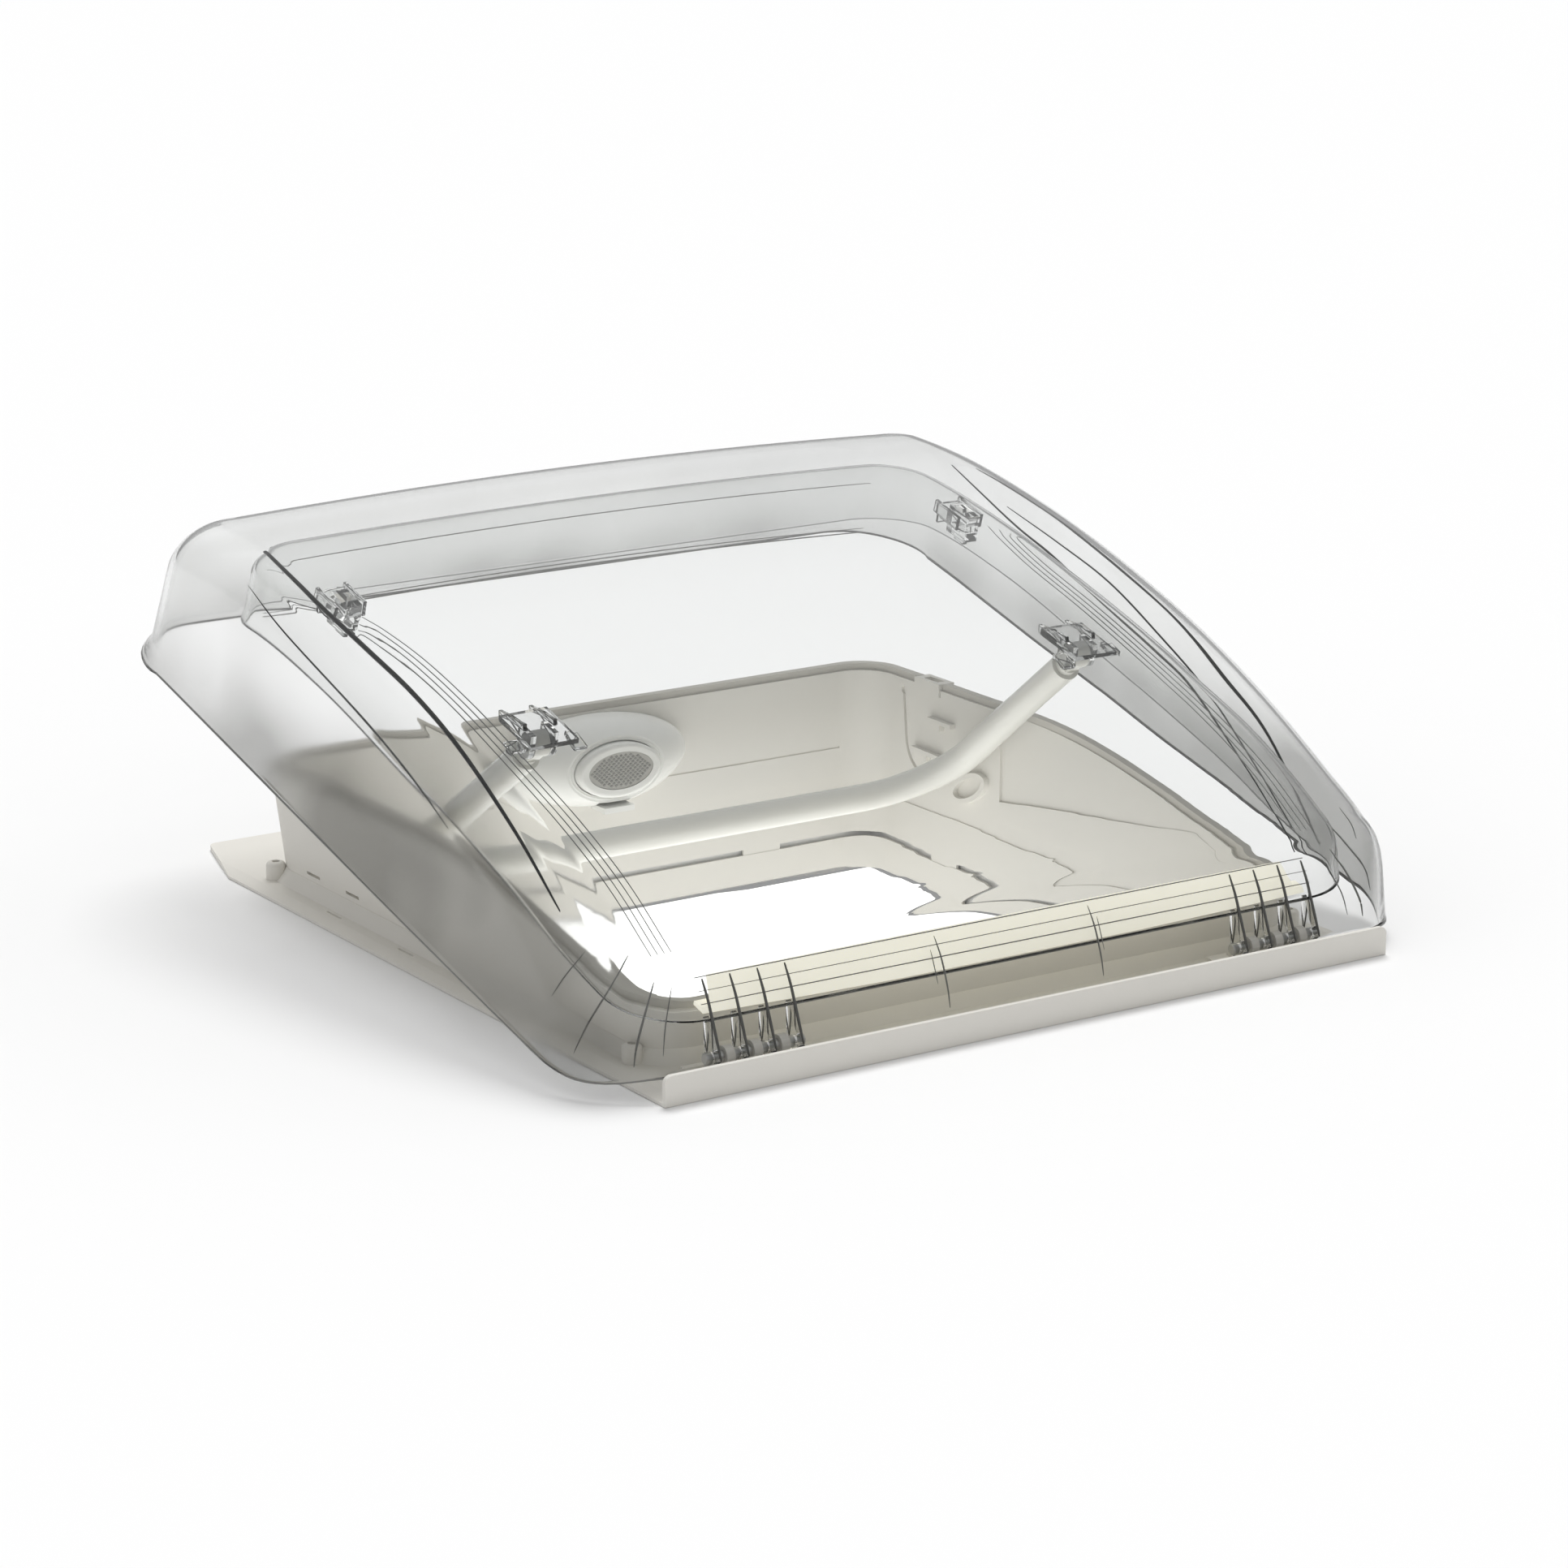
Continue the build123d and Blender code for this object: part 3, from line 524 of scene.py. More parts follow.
@dataclass(frozen=True)
class MouldedPlastic(Finish):
    """Opaque moulded plastic with a fine satin grain, which gives off painted light where glow is above 0."""

    color: tuple[float, float, float]
    roughness: float = 0.38
    grain: float = 900.0
    mottle: float = 0.05
    bump: float = 0.05
    bump_depth: float = 0.0004
    ior: float = 1.46
    glow: float = 0.0

    def shade(self, tree: bpy.types.NodeTree, shader: bpy.types.Node) -> None:
        """Feeds the grain group into the shader."""
        tint = (*self.color, 1.0)
        values = {"Color": tint, "Roughness": self.roughness, "Grain": self.grain, "Mottle": self.mottle}
        grain = new_node(tree, "ShaderNodeGroup", values, node_tree=moulded_grain_group())
        bump = new_node(tree, "ShaderNodeBump", {"Strength": self.bump, "Distance": self.bump_depth})
        link(tree, grain.outputs["Color"], shader.inputs["Base Color"])
        link(tree, grain.outputs["Roughness"], shader.inputs["Roughness"])
        link(tree, grain.outputs["Height"], bump.inputs["Height"])
        link(tree, bump.outputs["Normal"], shader.inputs["Normal"])
        set_inputs(shader, {"IOR": self.ior, "Emission Color": tint, "Emission Strength": self.glow})


@dataclass(frozen=True)
class ClearAcrylic(Finish):
    """See-through acrylic. Its walls take a rough frosting and a grey tint of painted shade where the mesh
    attribute named frost_and_shade is above 0.
    """

    clear: tuple[float, float, float] = (0.97, 0.975, 0.972)
    # Painted shade: the grey tint that the walls take where the mask is high.
    frost_shade_tint: tuple[float, float, float] = (0.47, 0.47, 0.46)
    smooth_roughness: float = 0.0
    frosted_roughness: float = 0.22
    ior: float = 1.2
    light_through: float = 0.76

    def shade(self, tree: bpy.types.NodeTree, shader: bpy.types.Node) -> None:
        """Clouds the frosting and its painted grey shade, and lets lamps shine through in part, so that
        shadows are faint.
        """
        set_inputs(shader, {"Transmission Weight": 1.0, "IOR": self.ior})
        frost_and_shade = new_node(tree, "ShaderNodeAttribute", attribute_name="frost_and_shade")
        place = new_node(tree, "ShaderNodeTexCoord")
        cloud = new_node(tree, "ShaderNodeTexNoise", {"Scale": 11.0, "Detail": 1.0})
        limits = {"From Min": 0.35, "From Max": 0.65, "To Min": 0.55, "To Max": 1.15}
        spread = new_node(tree, "ShaderNodeMapRange", limits)
        clouded = new_node(tree, "ShaderNodeMath", operation="MULTIPLY", use_clamp=True)
        # Painted shade: the wall's colour turns grey where the mask is high.
        tint = new_node(
            tree, "ShaderNodeMix", {"A": (*self.clear, 1.0), "B": (*self.frost_shade_tint, 1.0)}, data_type="RGBA"
        )
        limits = {"To Min": self.smooth_roughness, "To Max": self.frosted_roughness}
        rough = new_node(tree, "ShaderNodeMapRange", limits)
        passing = new_node(tree, "ShaderNodeBsdfTransparent", {"Color": (*(self.light_through,) * 3, 1.0)})
        light = new_node(tree, "ShaderNodeLightPath")
        choice = new_node(tree, "ShaderNodeMixShader")
        link(tree, place.outputs["Object"], cloud.inputs["Vector"])
        link(tree, cloud.outputs["Fac"], spread.inputs["Value"])
        link(tree, frost_and_shade.outputs["Fac"], clouded.inputs[0])
        link(tree, spread.outputs["Result"], clouded.inputs[1])
        link(tree, clouded.outputs[0], tint.inputs["Factor"])
        link(tree, frost_and_shade.outputs["Fac"], rough.inputs["Value"])
        link(tree, tint.outputs["Result"], shader.inputs["Base Color"])
        link(tree, rough.outputs["Result"], shader.inputs["Roughness"])
        link(tree, light.outputs["Is Shadow Ray"], choice.inputs["Fac"])
        link(tree, shader.outputs["BSDF"], choice.inputs[1])
        link(tree, passing.outputs["BSDF"], choice.inputs[2])
        link(tree, choice.outputs["Shader"], tree.nodes["Material Output"].inputs["Surface"])


@dataclass(frozen=True)
class ClearFitting(Finish):
    """See-through acrylic for small moulded parts, slightly uneven in its gloss."""

    name: str = "clear_fitting"
    color: tuple[float, float, float] = (0.93, 0.935, 0.93)
    roughness: float = 0.04
    ior: float = 1.49
    ripple_scale: float = 160.0

    def shade(self, tree: bpy.types.NodeTree, shader: bpy.types.Node) -> None:
        """Varies the roughness over the part."""
        set_inputs(shader, {"Transmission Weight": 1.0, "IOR": self.ior, "Base Color": (*self.color, 1.0)})
        uneven_gloss(tree, shader, self.ripple_scale, 0.0, 2 * self.roughness)


@dataclass(frozen=True)
class LitFloor(Finish):
    """Plain pale ground, which gives off light where glow is above 0."""

    color: tuple[float, float, float] = (0.9, 0.9, 0.9)
    glow: float = 0.0

    def shade(self, tree: bpy.types.NodeTree, shader: bpy.types.Node) -> None:
        """Makes it fully matt."""
        white = (1.0, 1.0, 1.0, 1.0)
        set_inputs(shader, {"Base Color": (*self.color, 1.0), "Roughness": 1.0, "Specular IOR Level": 0.0})
        set_inputs(shader, {"Emission Color": white, "Emission Strength": self.glow})


@dataclass(frozen=True)
class BrightSteel(Finish):
    """Bright steel, slightly uneven in its gloss."""

    name: str = "bright_steel"
    color: tuple[float, float, float] = (0.62, 0.62, 0.61)
    roughness: float = 0.3
    roughness_spread: float = 0.15
    grain_scale: float = 1500.0

    def shade(self, tree: bpy.types.NodeTree, shader: bpy.types.Node) -> None:
        """Varies the roughness over the part."""
        set_inputs(shader, {"Metallic": 1.0, "Base Color": (*self.color, 1.0)})
        uneven_gloss(tree, shader, self.grain_scale, self.roughness, self.roughness + self.roughness_spread)


@dataclass(frozen=True)
class Finishes:
    """Every finish of the vent."""

    cream: MouldedPlastic = MouldedPlastic("cream_plastic", (0.60, 0.572, 0.505), 0.42)
    white: MouldedPlastic = MouldedPlastic("white_plastic", (0.80, 0.79, 0.74), 0.34)
    # The strip's glow is painted light, so that it looks lit from the front behind the two shells.
    strip: MouldedPlastic = MouldedPlastic("strip_painted_glow", (0.82, 0.79, 0.68), 0.4, mottle=0.12, glow=0.72)
    bow: MouldedPlastic = MouldedPlastic("bow_plastic", (0.64, 0.615, 0.55), 0.34)
    pad: MouldedPlastic = MouldedPlastic("button_pad_rubber", (0.48, 0.47, 0.44), 0.5)
    seal: MouldedPlastic = MouldedPlastic("pale_seal", (0.60, 0.58, 0.53), 0.6)
    # Painted dark edges: near-black threads where clear edges show dark by refraction.
    seam: MouldedPlastic = MouldedPlastic("painted_dark_edge", (0.012, 0.012, 0.012), 0.3)
    shell: ClearAcrylic = ClearAcrylic("clear_acrylic")
    diamond: MouldedPlastic = MouldedPlastic("pad_diamond_grey", (0.30, 0.30, 0.28), 0.45)
    # Painted dark edges: grey threads for the dark that clear lines, ribs and the rim show by refraction.
    grey_edge_paint: MouldedPlastic = MouldedPlastic("painted_grey_edge", (0.22, 0.22, 0.21), 0.35)
    # Painted dark edges: near-black threads for the dark that clear ribs and tabs show by refraction.
    dark_rib_paint: MouldedPlastic = MouldedPlastic("painted_rib_edge_dark", (0.09, 0.09, 0.085), 0.3)
    fitting: ClearFitting = ClearFitting()
    steel: BrightSteel = BrightSteel()


FINISH = Finishes()


# ---------------------------------------------------------------- lid shells


@dataclass(frozen=True)
class ShellForm:
    """A moulded shell: an outline at its foot, a side view of its top, leaning walls, rounded shoulders."""

    half_width: float
    front_y: float
    back_y: float
    front_corner: float
    back_corner: float
    top: Profile
    foot: Profile
    crown_radius: float
    side_lean: float
    front_lean: float
    back_lean: float
    shoulder: float
    front_shoulder: float
    wall: float
    lip: float = 0.0
    lip_height: float = 12.0
    span: float = 60.0
    rings: int = 54
    across: int = 64
    along: int = 72
    corner: int = 16
    least_corner: float = 14.0
    least_shoulder: float = 1.5
    close_reach: float = 16.0
    close_steps: int = 130
    far_start: float = 16.4
    far_steps: int = 110
    halvings: int = 34
    # These fields shape a mask that roughens the walls and paints grey shade into them, most low on the walls
    # and least on front-facing walls.
    frost_shade_inset: tuple[float, float] = (2.0, 26.0)
    frost_shade_drop: tuple[float, float] = (-24.0, -2.0)
    frost_shade_height: tuple[float, float] = (25.0, 85.0)
    frost_shade_tilt: float = 0.12
    frost_shade_least: float = 0.25
    frost_shade_front: float = 0.8

    def outline(self, inset: float) -> tuple[np.ndarray, np.ndarray]:
        """The outline seen from above, anticlockwise from the middle of the front right corner's arc.

        Args:
            inset: How far the outline is moved inwards.

        Returns:
            The points and the outward normals.
        """
        spots, normals = [], []
        x1, y0, y1 = self.half_width - inset, self.front_y + inset, self.back_y - inset
        front = max(self.front_corner - inset, self.least_corner)
        back = max(self.back_corner - inset, self.least_corner)
        centres = (
            (x1 - front, y0 + front, front, -90.0),
            (x1 - back, y1 - back, back, 0.0),
            (back - x1, y1 - back, back, 90.0),
            (front - x1, y0 + front, front, 180.0),
        )
        counts = (self.along, self.across, self.along, self.across)
        for i, (cx, cy, radius, start) in enumerate(centres):
            for k in range(self.corner + 1):
                angle = math.radians(start + 90.0 * k / self.corner)
                normal = np.array((math.cos(angle), math.sin(angle)))
                spots.append(np.array((cx, cy)) + radius * normal)
                normals.append(normal)
            nx, ny, next_radius, next_start = centres[(i + 1) % 4]
            angle = math.radians(next_start)
            target = np.array((nx, ny)) + next_radius * np.array((math.cos(angle), math.sin(angle)))
            begin, normal = spots[-1], normals[-1]
            for k in range(1, counts[i]):
                spots.append(begin + (target - begin) * k / counts[i])
                normals.append(normal)
        turn = -(self.corner // 2)
        return np.roll(np.array(spots), turn, axis=0), np.roll(np.array(normals), turn, axis=0)

    def top_height(self, x: np.ndarray, y: np.ndarray) -> np.ndarray:
        """Height of the top over the plan, before its shoulders are rounded."""
        return self.top(y) - x * x / (2 * self.crown_radius)

    def lean(self, normals: np.ndarray) -> np.ndarray:
        """Lean of the wall from upright, in radians, where the outline faces along normals."""
        ny = normals[:, 1]
        lean = np.where(ny < 0, self.front_lean, self.back_lean)
        share = ny * ny
        return np.radians(self.side_lean * (1 - share) + lean * share)

    def skin(self, depth: float) -> tuple[np.ndarray, np.ndarray]:
        """One face of the shell, depth inside its outer face.

        Args:
            depth: How far inside the outer face.

        Returns:
            The ring points (rings, around, 3), and the middle field's points (rows, columns, 3).
        """
        outline, normals = self.outline(depth)
        lean = self.lean(normals)[:, None]
        close = np.linspace(0, self.close_reach, self.close_steps)
        far = np.linspace(self.far_start, self.span, self.far_steps)
        fine = np.concatenate((close, far))[None, :]
        plan = outline[:, None, :] - normals[:, None, :] * fine[:, :, None]
        x, y = plan[..., 0], plan[..., 1]
        foot = self.foot(outline[:, 1])[:, None]
        slope = (self.top_height(x, y + 1.0) - self.top_height(x, y - 1.0)) / 2.0
        level = 1.0 / np.sqrt(1.0 + slope**2)
        top = self.top_height(x, y) - depth / level
        facing = np.clip(-normals[:, 1], 0, 1)[:, None]
        radius = self.shoulder * (1 - facing) + self.front_shoulder * facing - depth
        radius = np.maximum(radius, self.least_shoulder)
        low, high = np.broadcast_to(foot, x.shape).copy(), np.maximum(top, foot)
        for _ in range(self.halvings):
            middle = (low + high) / 2
            wall_gap = np.maximum(radius - (fine * np.cos(lean) - (middle - foot) * np.sin(lean)), 0)
            top_gap = np.maximum(radius - (top - middle) * level, 0)
            inside = np.hypot(wall_gap, top_gap) < radius
            low = np.where(inside, middle, low)
            high = np.where(inside, high, middle)
        height = (low + high) / 2
        height[:, 0] = foot[:, 0]
        path = np.hypot(np.diff(np.broadcast_to(fine, x.shape), axis=1), np.diff(height, axis=1))
        length = np.concatenate((np.zeros((len(outline), 1)), np.cumsum(path, axis=1)), axis=1)
        share = np.linspace(0, 1, self.rings)
        rings = np.empty((self.rings, len(outline), 3))
        for j in range(len(outline)):
            at = share * length[j, -1]
            inset = np.interp(at, length[j], fine[0])
            rings[:, j, :2] = outline[j] - normals[j] * inset[:, None]
            rings[:, j, 2] = np.interp(at, length[j], height[j])
        if self.lip:
            out = self.lip * np.clip(normals[:, 1], 0, 1) ** 0.5
            share_low = 1 - smooth_step(0, self.lip_height, rings[..., 2] - foot[:, 0][None, :])
            rings[..., :2] += (share_low * out[None, :])[..., None] * normals[None, :, :]
        return rings, self.field(rings[-1], depth)

    def field(self, rim: np.ndarray, depth: float) -> np.ndarray:
        """Fills the middle of the top inside its innermost ring, row by row from front to back.

        Args:
            rim: The innermost ring's points.
            depth: How far inside the outer face.

        Returns:
            The points (rows, columns, 3), whose edge points are the ring's.
        """
        rows, columns = self.along + self.corner, self.across + self.corner
        right = rim[: rows + 1]
        back = rim[rows : rows + columns + 1][::-1]
        left = rim[rows + columns : 2 * rows + columns + 1][::-1]
        front = np.concatenate((rim[2 * rows + columns :], rim[:1]))
        u = np.linspace(0, 1, columns + 1)[None, :, None]
        v = np.linspace(0, 1, rows + 1)[:, None, None]
        patch = (1 - v) * front[None] + v * back[None] + (1 - u) * left[:, None] + u * right[:, None]
        patch = patch - (
            (1 - u) * (1 - v) * front[0]
            + u * (1 - v) * front[-1]
            + (1 - u) * v * back[0]
            + u * v * back[-1]
        )
        inner = patch[1:-1, 1:-1]
        slope = (self.top(inner[..., 1] + 1.0) - self.top(inner[..., 1] - 1.0)) / 2.0
        inner[..., 2] = self.top_height(inner[..., 0], inner[..., 1]) - depth * np.sqrt(1 + slope**2)
        return patch

    def faces_of(self, around: int, rows: int, columns: int, start: int, outward: bool) -> Faces:
        """Faces of one skin whose points are stored ring by ring and then the field's inner points.

        Args:
            around: Points in a ring.
            rows: Rows of faces in the field.
            columns: Columns of faces in the field.
            start: Index of the skin's first point.
            outward: Whether the faces look out of the shell.

        Returns:
            The faces.
        """
        faces = []
        for k in range(self.rings - 1):
            for j in range(around):
                a, b = start + k * around + j, start + k * around + (j + 1) % around
                faces.append((a, b, b + around, a + around))
        last = start + (self.rings - 1) * around
        inside = start + self.rings * around

        def spot(row: int, column: int) -> int:
            """Index of the field point in that row and column."""
            if column == columns:
                return last + row
            if row == rows:
                return last + rows + (columns - column)
            if column == 0:
                return last + rows + columns + (rows - row)
            if row == 0:
                return last + 2 * rows + columns + column
            return inside + (row - 1) * (columns - 1) + column - 1

        for i in range(rows):
            for k in range(columns):
                faces.append((spot(i, k), spot(i, k + 1), spot(i + 1, k + 1), spot(i + 1, k)))
        return faces if outward else [face[::-1] for face in faces]

    def build(self) -> tuple[np.ndarray, Faces, np.ndarray]:
        """Builds the whole shell, closed along its foot.

        Returns:
            The points, the faces, and how much frosting and painted shade each point takes: 0 on the clear
            top, most low on the walls.
        """
        rows, columns = self.along + self.corner, self.across + self.corner
        points, faces, frost_and_shade, counts = [], [], [], []
        for depth, outward in ((0.0, True), (self.wall, False)):
            rings, field_points = self.skin(depth)
            start = sum(counts)
            inner = field_points[1:-1, 1:-1].reshape(-1, 3)
            points += [rings.reshape(-1, 3), inner]
            counts.append(rings.shape[0] * rings.shape[1] + len(inner))
            around = rings.shape[1]
            faces += self.faces_of(around, rows, columns, start, outward)
            level = rings[..., 2]
            inset = np.linalg.norm(rings[..., :2] - rings[:1, :, :2], axis=-1)
            top = self.top_height(rings[..., 0], rings[..., 1])
            wall = 1 - smooth_step(*self.frost_shade_inset, inset) * smooth_step(*self.frost_shade_drop, level - top)
            # Painted shade: the mask grows towards the foot of the walls.
            low = 1 - smooth_step(*self.frost_shade_height, level + self.frost_shade_tilt * rings[..., 1])
            facing = np.clip(-self.outline(depth)[1][:, 1], 0, 1)[None, :]
            strength = self.frost_shade_least + (1 - self.frost_shade_least) * low
            frost_and_shade += [(wall * strength * (1 - self.frost_shade_front * facing)).reshape(-1)]
            frost_and_shade += [np.zeros(len(inner))]
        second = counts[0]
        for j in range(around):
            after = (j + 1) % around
            faces.append((after, j, second + j, second + after))
        return np.concatenate(points), faces, np.concatenate(frost_and_shade)


def add_frost_and_shade(piece: bpy.types.Object, values: np.ndarray) -> None:
    """Stores how much frosting and painted shade each point of a clear piece takes.

    Args:
        piece: The clear piece.
        values: One number per point, 0 clear and 1 with full frosting and painted shade.
    """
    layer = piece.data.attributes.new("frost_and_shade", "FLOAT", "POINT")
    layer.data.foreach_set("value", np.asarray(values, np.float32))


@dataclass
class Lid:
    """The clear lid: two shells, what joins them, and the fittings under them."""

    outer: ShellForm = field(
        default_factory=lambda: ShellForm(
            half_width=260.0,
            front_y=-243.0,
            back_y=284.0,
            front_corner=52.0,
            back_corner=48.0,
            top=Profile(
                (
                    (-243, 14),
                    (-232, 29),
                    (-221, 43),
                    (-209, 56.5),
                    (-190, 67),
                    (-160, 77),
                    (-111, 91.5),
                    (-51, 104),
                    (31, 112),
                    (114, 112.5),
                    (206, 104),
                    (254, 93),
                    (290, 78),
                )
            ),
            foot=Profile(((-250, 15.5), (-243, 14), (-226, 7), (-216, 4.8), (-200, 4.5), (290, 4.5))),
            crown_radius=4200.0,
            side_lean=6.0,
            front_lean=30.0,
            back_lean=11.5,
            shoulder=24.0,
            front_shoulder=5.0,
            wall=3.0,
            lip=5.0,
            span=44.0,
        )
    )
    inner: ShellForm = field(
        default_factory=lambda: ShellForm(
            half_width=226.5,
            front_y=-227.0,
            back_y=233.0,
            front_corner=38.0,
            back_corner=38.0,
            top=Profile(
                (
                    (-227, 43),
                    (-218, 49.5),
                    (-208, 55),
                    (-195, 60.5),
                    (-170, 69),
                    (-131, 79),
                    (-70, 86),
                    (-15, 91),
                    (60, 93.5),
                    (119, 93.5),
                    (180, 90),
                    (233, 84),
                )
            ),
            foot=Profile(
                ((-230, 32), (-200, 31), (-150, 33), (-97, 40), (9, 47), (114, 52), (187, 48.6), (236, 40))
            ),
            crown_radius=5200.0,
            side_lean=6.0,
            front_lean=36.0,
            back_lean=4.0,
            shoulder=9.0,
            front_shoulder=6.0,
            wall=2.5,
            span=31.0,
        )
    )
    back_sag: float = 9000.0
    claw: tuple[float, float] = (202.0, 137.0)

    def shells(self) -> None:
        """Builds the outer and the inner shell."""
        for name, form, node, cleared in (
            ("lid_outer_shell", self.outer, ("lid_outer",), 1.0),
            ("lid_inner_shell", self.inner, ("lid_inner", "lid_shelf"), 0.5),
        ):
            points, faces, frost_and_shade = form.build()
            opened, clear = HINGE.turned_open(points), FINISH.shell.build()
            piece = mesh_piece(name, opened, faces, clear, Body.LID, True, node)
            # The shells' frosting and painted grey shade follow this mask; the inner shell takes half.
            add_frost_and_shade(piece, frost_and_shade * cleared)

    def dress_fittings(self) -> None:
        """Gives the lid's small CAD pieces their clear finish."""
        for node in (
            "hinge_lugs_left",
            "hinge_lugs_right",
            "bow_bracket_left",
            "bow_bracket_right",
            "rear_claw_left",
            "rear_claw_right",
        ):
            dress(node, FINISH.fitting.build())
        for node in ("bow_pin_left", "bow_pin_right"):
            dress(node, FINISH.steel.build())
        # Painted light: the front strip's finish glows.
        dress("front_strip", FINISH.strip.build())

    def both(self, name: str, threads: list[Thread], material: bpy.types.Material) -> None:
        """Makes one piece per side from strips drawn on the right.

        Args:
            name: The pieces' name, without the side.
            threads: The strips of the right side, closed lid.
            material: Their finish.
        """
        lid_threads(f"{name}_right", threads, material)
        lid_threads(f"{name}_left", [thread.mirrored() for thread in threads], material)

    def under_pane(self, x: float, y: float, drop: float) -> tuple[float, float, float]:
        """A point drop below the inner shell's top, at x and y of the closed lid."""
        height = float(self.inner.top_height(np.array([x]), np.array([y]))[0])
        return x, y, height - drop

    def painted_edge_lines(self) -> None:
        """Painted dark edge lines, standing in for the dark that the clear shells' edges show by refraction:
        three lines on the right, two on the left and four across the back.
        """
        far = ((238, 178.7, 93.2), (238, 148.7, 96.3), (238, 104.5, 98.8))
        far += ((239.5, 76, 97.4), (243, 36.5, 92.6))
        far += ((246, -10.7, 85.6), (246, -60, 72.0), (246, -105.9, 57.8), (246, -161.3, 22.3))
        middle = ((228, 131.6, 90.5), (228, 80, 91.2), (228, 29.7, 90), (228, -20, 81.5), (228, -70.4, 69.7))
        middle += ((228, -120, 49.5), (228, -173.7, 24.6))
        near = ((224.5, 185, 93.5), (224.5, 119, 86), (224.5, 79, 84), (224.5, 27, 78), (224.5, -27, 73))
        near += ((224.5, -62, 67.6), (224.5, -115, 47.5), (224.5, -167, 24))
        # Near-black threads: painted dark edge lines.
        dark = FINISH.seam.build()
        right = [Thread(far, 1.25, 0.2), Thread(middle, 0.55, 0.4), Thread(near, 0.75, 0.4)]
        left_far = ((-224.5, 191, 94.5), (-224.5, 184.5, 95.4), (-224.5, 150, 94.8), (-224.5, 120.5, 93.9))
        left_far += ((-224.5, 70, 93.8), (-224.5, 19.3, 92.9), (-224.5, -30.5, 86.6), (-224.5, -90, 71))
        left_far += ((-224.5, -140, 52),)
        left_wall = ((-244, 169.6, 88), (-244, 124.2, 81), (-244, 34.1, 75))
        left_wall += ((-244, -19.4, 68.5), (-244, -60, 60))
        left = [Thread(left_far, 1.35, 0.3), Thread(left_wall, 0.5, 0.2)]
        lid_threads("glue_seams_right", right, dark)
        lid_threads("glue_seams_left", left, dark)
        across = [
            Thread(tuple((x, 228.5, z - x * x / self.back_sag) for x in range(-200, 201, 40)), radius, 0.5)
            for z, radius in ((81.0, 0.55), (69.0, 0.4), (37.5, 0.55), (40.0, 0.35))
        ]
        lid_threads("back_seams", across, FINISH.grey_edge_paint.build())

    def contours(self) -> None:
        """Four fine raised lines along each side of the inner shell, drawn grey: painted dark edges, for the
        dark that clear lines show by refraction.
        """
        threads = []
        for k in range(4):
            x = 195.0 + 3.8 * k
            knots = [self.under_pane(x + shift, y, 2.6) for y, shift in ((116 - 6 * k, 9), (96, 5), (60, 1))]
            knots += [self.under_pane(x, y, 2.6) for y in (10, -45, -100, -150, -196)]
            threads.append(Thread(tuple(knots), 0.32, 0.6))
        self.both("contour_lines", threads, FINISH.grey_edge_paint.build())

    def front_ribs(self) -> None:
        """Ribs over the hinge lugs, corner gussets, single ribs and four lines along the front, with painted
        dark edges: dark and grey threads for the dark that clear ribs show by refraction.
        """
        curve = ((0, -240.3, 16), (0, -235, 23), (0, -228.5, 31.5), (0, -221.5, 40.5), (0, -214, 48))
        rear = ((1.6, -227, 9), (1.6, -226.5, 18), (1.6, -225, 27), (1.6, -221, 36))
        form = joined([Thread(curve, 0.8, 0.5).build(), Thread(rear, 0.45, 0.5).build()])
        places = np.array([(side * x, 0.0, 0.0) for side in (-1, 1) for x in (139.0, 155.0, 171.0, 187.0)])
        # Painted dark edges on the lug ribs.
        dark_rib_paint = FINISH.dark_rib_paint.build()
        lid_piece("lug_ribs", [repeated(form, places, dark_rib_paint)], dark_rib_paint)
        corner = [
            Thread(((218, -193.4, 55), (229, -199, 44), (243, -204, 28), (250, -206, 14)), 0.5),
            Thread(((211, -208, 47), (219, -216, 36), (226, -223, 22), (228, -226, 13)), 0.6),
            Thread(((236, -183, 55), (246, -184, 44), (252, -184, 34)), 0.35),
            Thread(((203, -212, 45), (211, -223, 30), (214, -229, 18)), 0.35),
        ]
        self.both("corner_ribs", corner, FINISH.grey_edge_paint.build())
        single = [
            Thread(((x, -215, 47), (x + 1, -223, 38), (x + 1, -232, 26), (x, -238, 18)), 0.5)
            for x in (-50, 46)
        ]
        single += [Thread(((x, -219, 42), (x, -224, 36), (x, -230, 28)), 0.3) for x in (-54, 50)]
        single += [
            Thread(tuple((x, y, z) for x in range(-190, 191, 38)), radius, 0.7)
            for y, z, radius in (
                (-211.5, 47.5, 0.3),
                (-216.5, 42.5, 0.22),
                (-220.5, 37.5, 0.3),
                (-225.5, 30.5, 0.4),
            )
        ]
        lid_threads("single_ribs", single, FINISH.grey_edge_paint.build())

